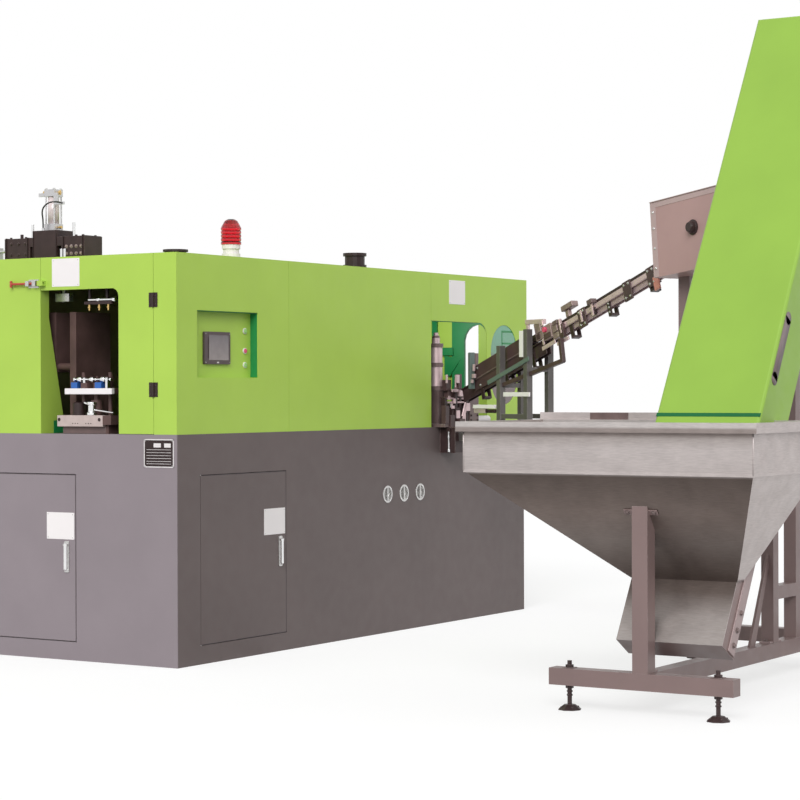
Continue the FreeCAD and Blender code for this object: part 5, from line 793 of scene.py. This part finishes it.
# thin white strips along the stand's edges and one corner: painted highlights
boxes("stand_edge_highlights", [
    ((461.1, 461.9), (-62, -52), (1062, 1570)), ((726.1, 726.9), (-62, -52), (1062, 1500)),
    ((726.1, 727.1), (-88.6, -51.4), (1512, 1655)), ((689, 726), (-89, -88.1), (1512, 1655)),
], "white_plate", bevel=0.3, place=STAND)
boxes("nose_bar", [((140, 160), (-66, -34), (1339, 1546))], "grey_green", bevel=2, place=STAND)
boxes("nose_bits", [((166, 190), (-60, -44), (1400, 1424)), ((170, 184), (-58, -46), (1440, 1478)),
                    ((160, 176), (-64, -52), (1372, 1392))], "satin", bevel=2, place=STAND)
knob = [(4, 0), (4, 0.4), (10, 0.45), (11, 0.6), (10, 1)]
turned("yoke_knobs", [(knob, (x, 28, 26), (x, 28, 52), 20) for x in KNOBS], "black",
       bevel=0.5, place=CHUTE)
boxes("sensor_blocks", [((x - 16, x + 16), (-36, -18.2), (-26, 8)) for x in SENSORS], "black",
      bevel=2, place=CHUTE)
boxes("sensor_brackets", [((x - 8, x + 8), (-42, -36), (-34, 30)) for x in SENSORS], "satin",
      place=CHUTE)
boxes("sensor_heads", [((x - 22, x + 22), (-52, -14), (30, 54)) for x in SENSORS[1::2]], "machined",
      bevel=3, place=CHUTE)
rods("sensor_lamp", [((936, -60, 36), (936, -46, 36))], 15, "red_cap", bevel=2, place=CHUTE)
boxes("head_blocks", [
    ((835, 905), (-46, -30), (0, 100)), ((905, 985), (-46, -26), (-20, 60)),
    ((985, 1062), (-42, -25), (-40, 44)), ((1000, 1046), (-50, -42), (-6, 30)),
    ((860, 900), (-52, -46), (40, 84)),
], "worn_iron", bevel=3, place=CHUTE)
boxes("head_dark_blocks", [
    ((846, 880), (-50, -44), (8, 36)), ((914, 976), (-50, -46), (-14, 14)),
    ((1050, 1090), (-46, -26), (-56, 20)),
], "chute_dark", bevel=2, place=CHUTE)
boxes("neck_guard", [((1076, 1960), (-27, -25), (1, 25))], "satin", bevel=0.6,
      place=CHUTE)
boxes("head_bright", [((880, 1010), (-52, -46), (-66, -44)), ((1010, 1120), (-44, -34), (-82, -62)),
                      ((912, 930), (-54, -46), (62, 92)), ((1064, 1076), (-48, -30), (-30, 50))],
      "satin", bevel=2, place=CHUTE)
boxes("head_arm", [((688, 868), (-50, -32), (1690, 1716)), ((694, 716), (-48, -34), (1655, 1690))],
      "satin", bevel=2, place=STAND)
boxes("head_counter", [((1072, 1178), (-22, 22), (88, 118)), ((1092, 1122), (-12, 12), (48, 88))],
      "worn_iron", bevel=4, place=CHUTE)
boxes("yoke_covers", [((x, x + 70), (-34, -25), (-62, 42)) for x in YOKES], "chute_dark", bevel=3,
      place=CHUTE)
bolts("yoke_cover_bolts", [(x + a, -34, z) for x in YOKES for a in (16, 54) for z in (-44, 24)],
      FRONTWARD, "steel", radius=5, height=4, place=CHUTE)

# ---- roller sorter
boxes("sorter_flange", [
    ((0.5, 44), (-151.6, -150), (-84, 289)), ((806, 849.5), (-151.6, -150), (-84, 289)),
    ((44, 806), (-151.6, -150), (262, 289)),
], "sorter_light", bevel=0.4, place=SORTER)
screws = [(22, -151.6, z) for z in (-40, 60, 160, 240)]
screws += [(828, -151.6, z) for z in (-40, 100, 240)]
bolts("sorter_screws", screws, FRONTWARD, "steel", radius=5, height=4, place=SORTER)
boxes("sorter_lip", [((0, 850), (-156, -146), (290, 294)), ((0, 850), (146, 156), (290, 294)),
                     ((-2, 8), (-150, 150), (290, 294)), ((842, 852), (-150, 150), (290, 294))],
      "sorter_light", place=SORTER)
bearing = [(34, 0), (34, 0.35), (27, 0.5), (27, 1)]
for number, y in enumerate((-57, 57)):
    turned(f"roller_bearing_{number}", [(bearing, (0, y, ROLLER_DROP), (-14, y, ROLLER_DROP), 32)],
           "black_steel", bevel=1, place=SORTER)
for body, y in (("roller_near", 57), ("roller_far", -57)):
    rods(body + "_skin", [((14.4, y, ROLLER_DROP), (835.6, y, ROLLER_DROP))], 44.9, "roller", body,
         bevel=1.5, sides=96, place=SORTER)
knob = [(38, 0), (38, 0.2), (30, 0.25), (30, 0.6), (22, 1)]
turned("sorter_knob", [(knob, (330, -150.2, 120), (330, -182, 120), 32)], "black_steel", bevel=1.5,
       place=SORTER)

# ---- elevator: hood seam, handle slot, side bars with their bolts, motor
boxes("hood_seam", [((-188, -186.6), (-2938.5, -2460.5), (986, 1004))], "seam_green", bevel=0.3,
      place=ELEVATOR)
slot_form = bmesh.new()
add_box(slot_form, (-170, -112), (-2941.6, -2939.8), (1200, 1500), ELEVATOR)
for z in (1200, 1500):
    add_turned(slot_form, rod(29), (-141, -2941.6, z), (-141, -2939.8, z), 32, ELEVATOR)
piece("hood_slot", slot_form, "slot_grey")
boxes("elevator_side_bars", [
    ((8, 70), (-2943, -2937.2), (6, 846)), ((8, 70), (-2461.8, -2456), (6, 846)),
], "stand_light", bevel=1.5, place=ELEVATOR)
bolts("side_bar_bolts", [(40, -2943, z) for z in (44, 112, 190, 470, 640, 800)], FRONTWARD,
      "machined", radius=9, height=8, place=ELEVATOR)
bolts("side_bar_bolts_inner", [(40, -2456, z) for z in (44, 190, 470, 800)], BACKWARD, "machined",
      radius=9, height=8, place=ELEVATOR)
rods("motor_skin", [((147, -2875.2, 2700), (147, -2684.2, 2700))], 62.3, "stand", bevel=4, sides=64,
     place=ELEVATOR)
boxes("motor_box", [((205, 240), (-2860, -2800), (2660, 2730))], "black", bevel=3, place=ELEVATOR)

# ---- hopper: seams, waist line and far rim; stand: saddle, brackets, bolts and feet
rods("tub_seams", [((x, y, 992), (x, y, 1198)) for y in (-3144, -1830) for x in (-400, 300)], 3.2,
     "stainless", bevel=0, sides=12)
WAIST = (986, 1000)
boxes("tub_waist", [
    ((-401.4, 301.4), (-3145.4, -3143.8), WAIST), ((-401.4, 301.4), (-1830.2, -1828.6), WAIST),
    ((-401.4, -399.8), (-3144, -1830), WAIST), ((299.8, 301.4), (-3144, -1830), WAIST),
], "stainless", bevel=0.6)
boxes("far_rim_guard", [((318, 324), (-2440, -1807), (1199, 1232))], "stainless")
boxes("far_rim_panel", [((315, 318), (-2247, -2060), (1200, 1231))], "machined",
      bevel=0.6)
SADDLE = placement((-271, -2605, 806.5), (0.5711, 0, -0.8209), (0, 1, 0), (0.8209, 0, 0.5711))
boxes("post_saddle", [((-46, -20), (-76, 76), (-6, -0.6))], "stand", bevel=2, place=SADDLE)
bolts("saddle_bolts", [(-33, y, -6) for y in (-60, 60)], (0, 0, -1), "machined", radius=8, height=6,
      place=SADDLE)
boxes("post_feet", [
    ((-236.5, -196), (-2632, -2578), (174, 182)), ((-236.4, -230), (-2632, -2578), (174, 214)),
    ((1073, 1112), (-2632, -2578), (174, 182)), ((1073, 1079), (-2632, -2578), (174, 212)),
    ((982, 1013), (-2632, -2578), (174, 182)),
], "stand_light")
bolts("post_feet_bolts", [(-214, -2605, 182), (1094, -2605, 182), (996, -2605, 182)], UPWARD,
      "machined", radius=9, height=8)
REAR_LEG = CHUTE_HIGH[0] + 75 * sorter_line.x
FEET = ((-271, -2936), (-271, -2264), (REAR_LEG, -2916), (REAR_LEG, -1950))
boxes("foot_washers", [((x - 24, x + 24), (y - 24, y + 24), (174, 177)) for x, y in FEET],
      "machined")


def four_round(x, y, radius):
    """Points on a circle's diagonals."""
    for turn in range(4):
        angle = math.radians(45 + 90 * turn)
        yield x + radius * math.cos(angle), y + radius * math.sin(angle)


pads = []
for x, y in FEET:
    pads += [([(8, 0), (6, 1)], (a, b, 6), (a, b, 15), 12) for a, b in four_round(x, y, 34)]
    pads += [(rod(13), (x, y, z), (x, y, z + 7), 6) for z in (58, 74)]
turned("foot_fittings", pads, "black_steel", bevel=0.8)

# ---- lower doors' screws and dark strips of painted shade along their gaps, hinge and latch screws, ports
DOOR_LINE = (-0.5, 0)
DOOR_FOOT, DOOR_HEAD = 94, 920
for name, middle, wide, free, face_x in (("front", 855, (204, 910), (907, 910), False),
                                         ("end", 686, (631, 1337), (631, 634), True)):
    body = name + "_lower_door"
    heads = [across(-6, middle + shift, z, face_x) for z in (448, 577) for shift in (-9, 9)]
    bolts(name + "_plate_screws", heads, ENDWARD if face_x else FRONTWARD, "bright", body,
          radius=3.2, height=1.6, washer=False)
    # dark strips along each door's top, foot and free edge: painted shade of the gaps
    lines = ((wide, (DOOR_FOOT, DOOR_FOOT + 3)), (wide, (DOOR_HEAD - 3, DOOR_HEAD)),
             (free, (DOOR_FOOT, DOOR_HEAD)))
    boxes(name + "_door_gap_shade", [across(DOOR_LINE, a, b, face_x) for a, b in lines], "door_gap_shade",
          body, bevel=0.2)
for name, y, body in (("hinge_screws", 124, "machine"), ("hinge_screws_door", 156, "end_door")):
    bolts(name, [(-3, y, z) for z in (1318, 1360, 1752, 1794)], ENDWARD, body=body, radius=3.2,
          height=1.5, washer=False)
bolts("latch_screws", [(-4, y, z) for y in (868, 924) for z in (1857, 1885)], ENDWARD, "steel",
      radius=3, height=1.6, washer=False)
screw = [(3, 0), (3, 0.7), (2, 1)]
spots = [spot for x in PORTS for spot in four_round(x, PORT_HEIGHT, 43.5)]
turned("port_screws", [(screw, (a, -3, b), (a, -4.6, b), 12) for a, b in spots], "bright")

# ---- camera, light and floor; the camera is where the photo was taken from, in metres
CAMERA_PLACE = (-10.3732, -7.6800, 1.3313)
CAMERA_AXES = ((0.53119221, -0.84724557, -0.00312611), (0.00520982, -0.00042332, 0.99998634),
               (-0.84723532, -0.53120124, 0.00418913))
FOCAL_LENGTH = 101.96
camera_data = bpy.data.cameras.new("camera")
camera = bpy.data.objects.new("camera", camera_data)
bpy.context.collection.objects.link(camera)
camera_data.sensor_width = 36
camera_data.lens = FOCAL_LENGTH
camera_data.clip_end = 100
turn = Matrix(CAMERA_AXES).transposed().to_4x4()
camera.matrix_world = Matrix.Translation(CAMERA_PLACE) @ turn
bpy.context.scene.camera = camera
bpy.context.scene.view_settings.view_transform = "Standard"


def lamp(name, kind, aim, energy, size):
    """Lamp that shines along aim: W/m2 and degrees across for a sun, else W and metres."""
    data = bpy.data.lights.new(name, kind)
    data.energy = energy
    if kind == "SUN":
        data.angle = math.radians(size)
    else:
        data.size = size
    thing = bpy.data.objects.new(name, data)
    bpy.context.collection.objects.link(thing)
    thing.rotation_euler = Vector(aim).to_track_quat("-Z", "Y").to_euler()
    return thing


lamp("key", "SUN", (0.80, 0.315, -0.52), 2.25, 35)
lamp("fill", "SUN", (-0.3, 0.8, -0.52), 0.42, 60)
bay = lamp("bay", "AREA", (0.9, 0.0, -0.25), 1.6, 0.4)
bay.location = at(2860, 480, 1760)
bay.data.spread = math.radians(120)
bay.visible_camera = False


def camera_rays(tree):
    """1 for rays that show the background, straight, in gloss or through glass."""
    path = tree.nodes.new("ShaderNodeLightPath")
    value = path.outputs["Is Camera Ray"]
    for other in ("Is Glossy Ray", "Is Transmission Ray"):
        most = tree.nodes.new("ShaderNodeMath")
        most.operation = "MAXIMUM"
        tree.links.new(value, most.inputs[0])
        tree.links.new(path.outputs[other], most.inputs[1])
        value = most.outputs[0]
    return value


WORLD_LIGHT = 0.55
FLOOR = ((-60, -60, 0), (60, -60, 0), (60, 60, 0), (-60, 60, 0))
FLOOR_TONES = (0.36, 0.38)
FLOOR_GLOW = 0.66
world = bpy.data.worlds.new("studio")
world.use_nodes = True
bpy.context.scene.world = world
tree = world.node_tree
strength = tree.nodes.new("ShaderNodeMapRange")
strength.inputs["To Min"].default_value = WORLD_LIGHT
tree.links.new(camera_rays(tree), strength.inputs["Value"])
tree.nodes["Background"].inputs["Color"].default_value = (1, 1, 1, 1)
tree.links.new(strength.outputs["Result"], tree.nodes["Background"].inputs["Strength"])

floor_mesh = bpy.data.meshes.new("floor")
floor_mesh.from_pydata(FLOOR, [], [(0, 1, 2, 3)])
floor = bpy.data.objects.new("floor", floor_mesh)
bpy.context.collection.objects.link(floor)
pale = bpy.data.materials.new("pale_floor")
pale.use_nodes = True
tree = pale.node_tree
shader = tree.nodes["Principled BSDF"]
shader.inputs["Roughness"].default_value = 0.9
shader.inputs["Specular IOR Level"].default_value = 0.0
tree.links.new(ramp(tree, noise(tree, 0.5), *FLOOR_TONES), shader.inputs["Base Color"])
shader.inputs["Emission Color"].default_value = (1, 1, 1, 1)
glow = tree.nodes.new("ShaderNodeMath")
glow.operation = "MULTIPLY"
glow.inputs[1].default_value = FLOOR_GLOW
tree.links.new(camera_rays(tree), glow.inputs[0])
tree.links.new(glow.outputs[0], shader.inputs["Emission Strength"])
floor.data.materials.append(pale)
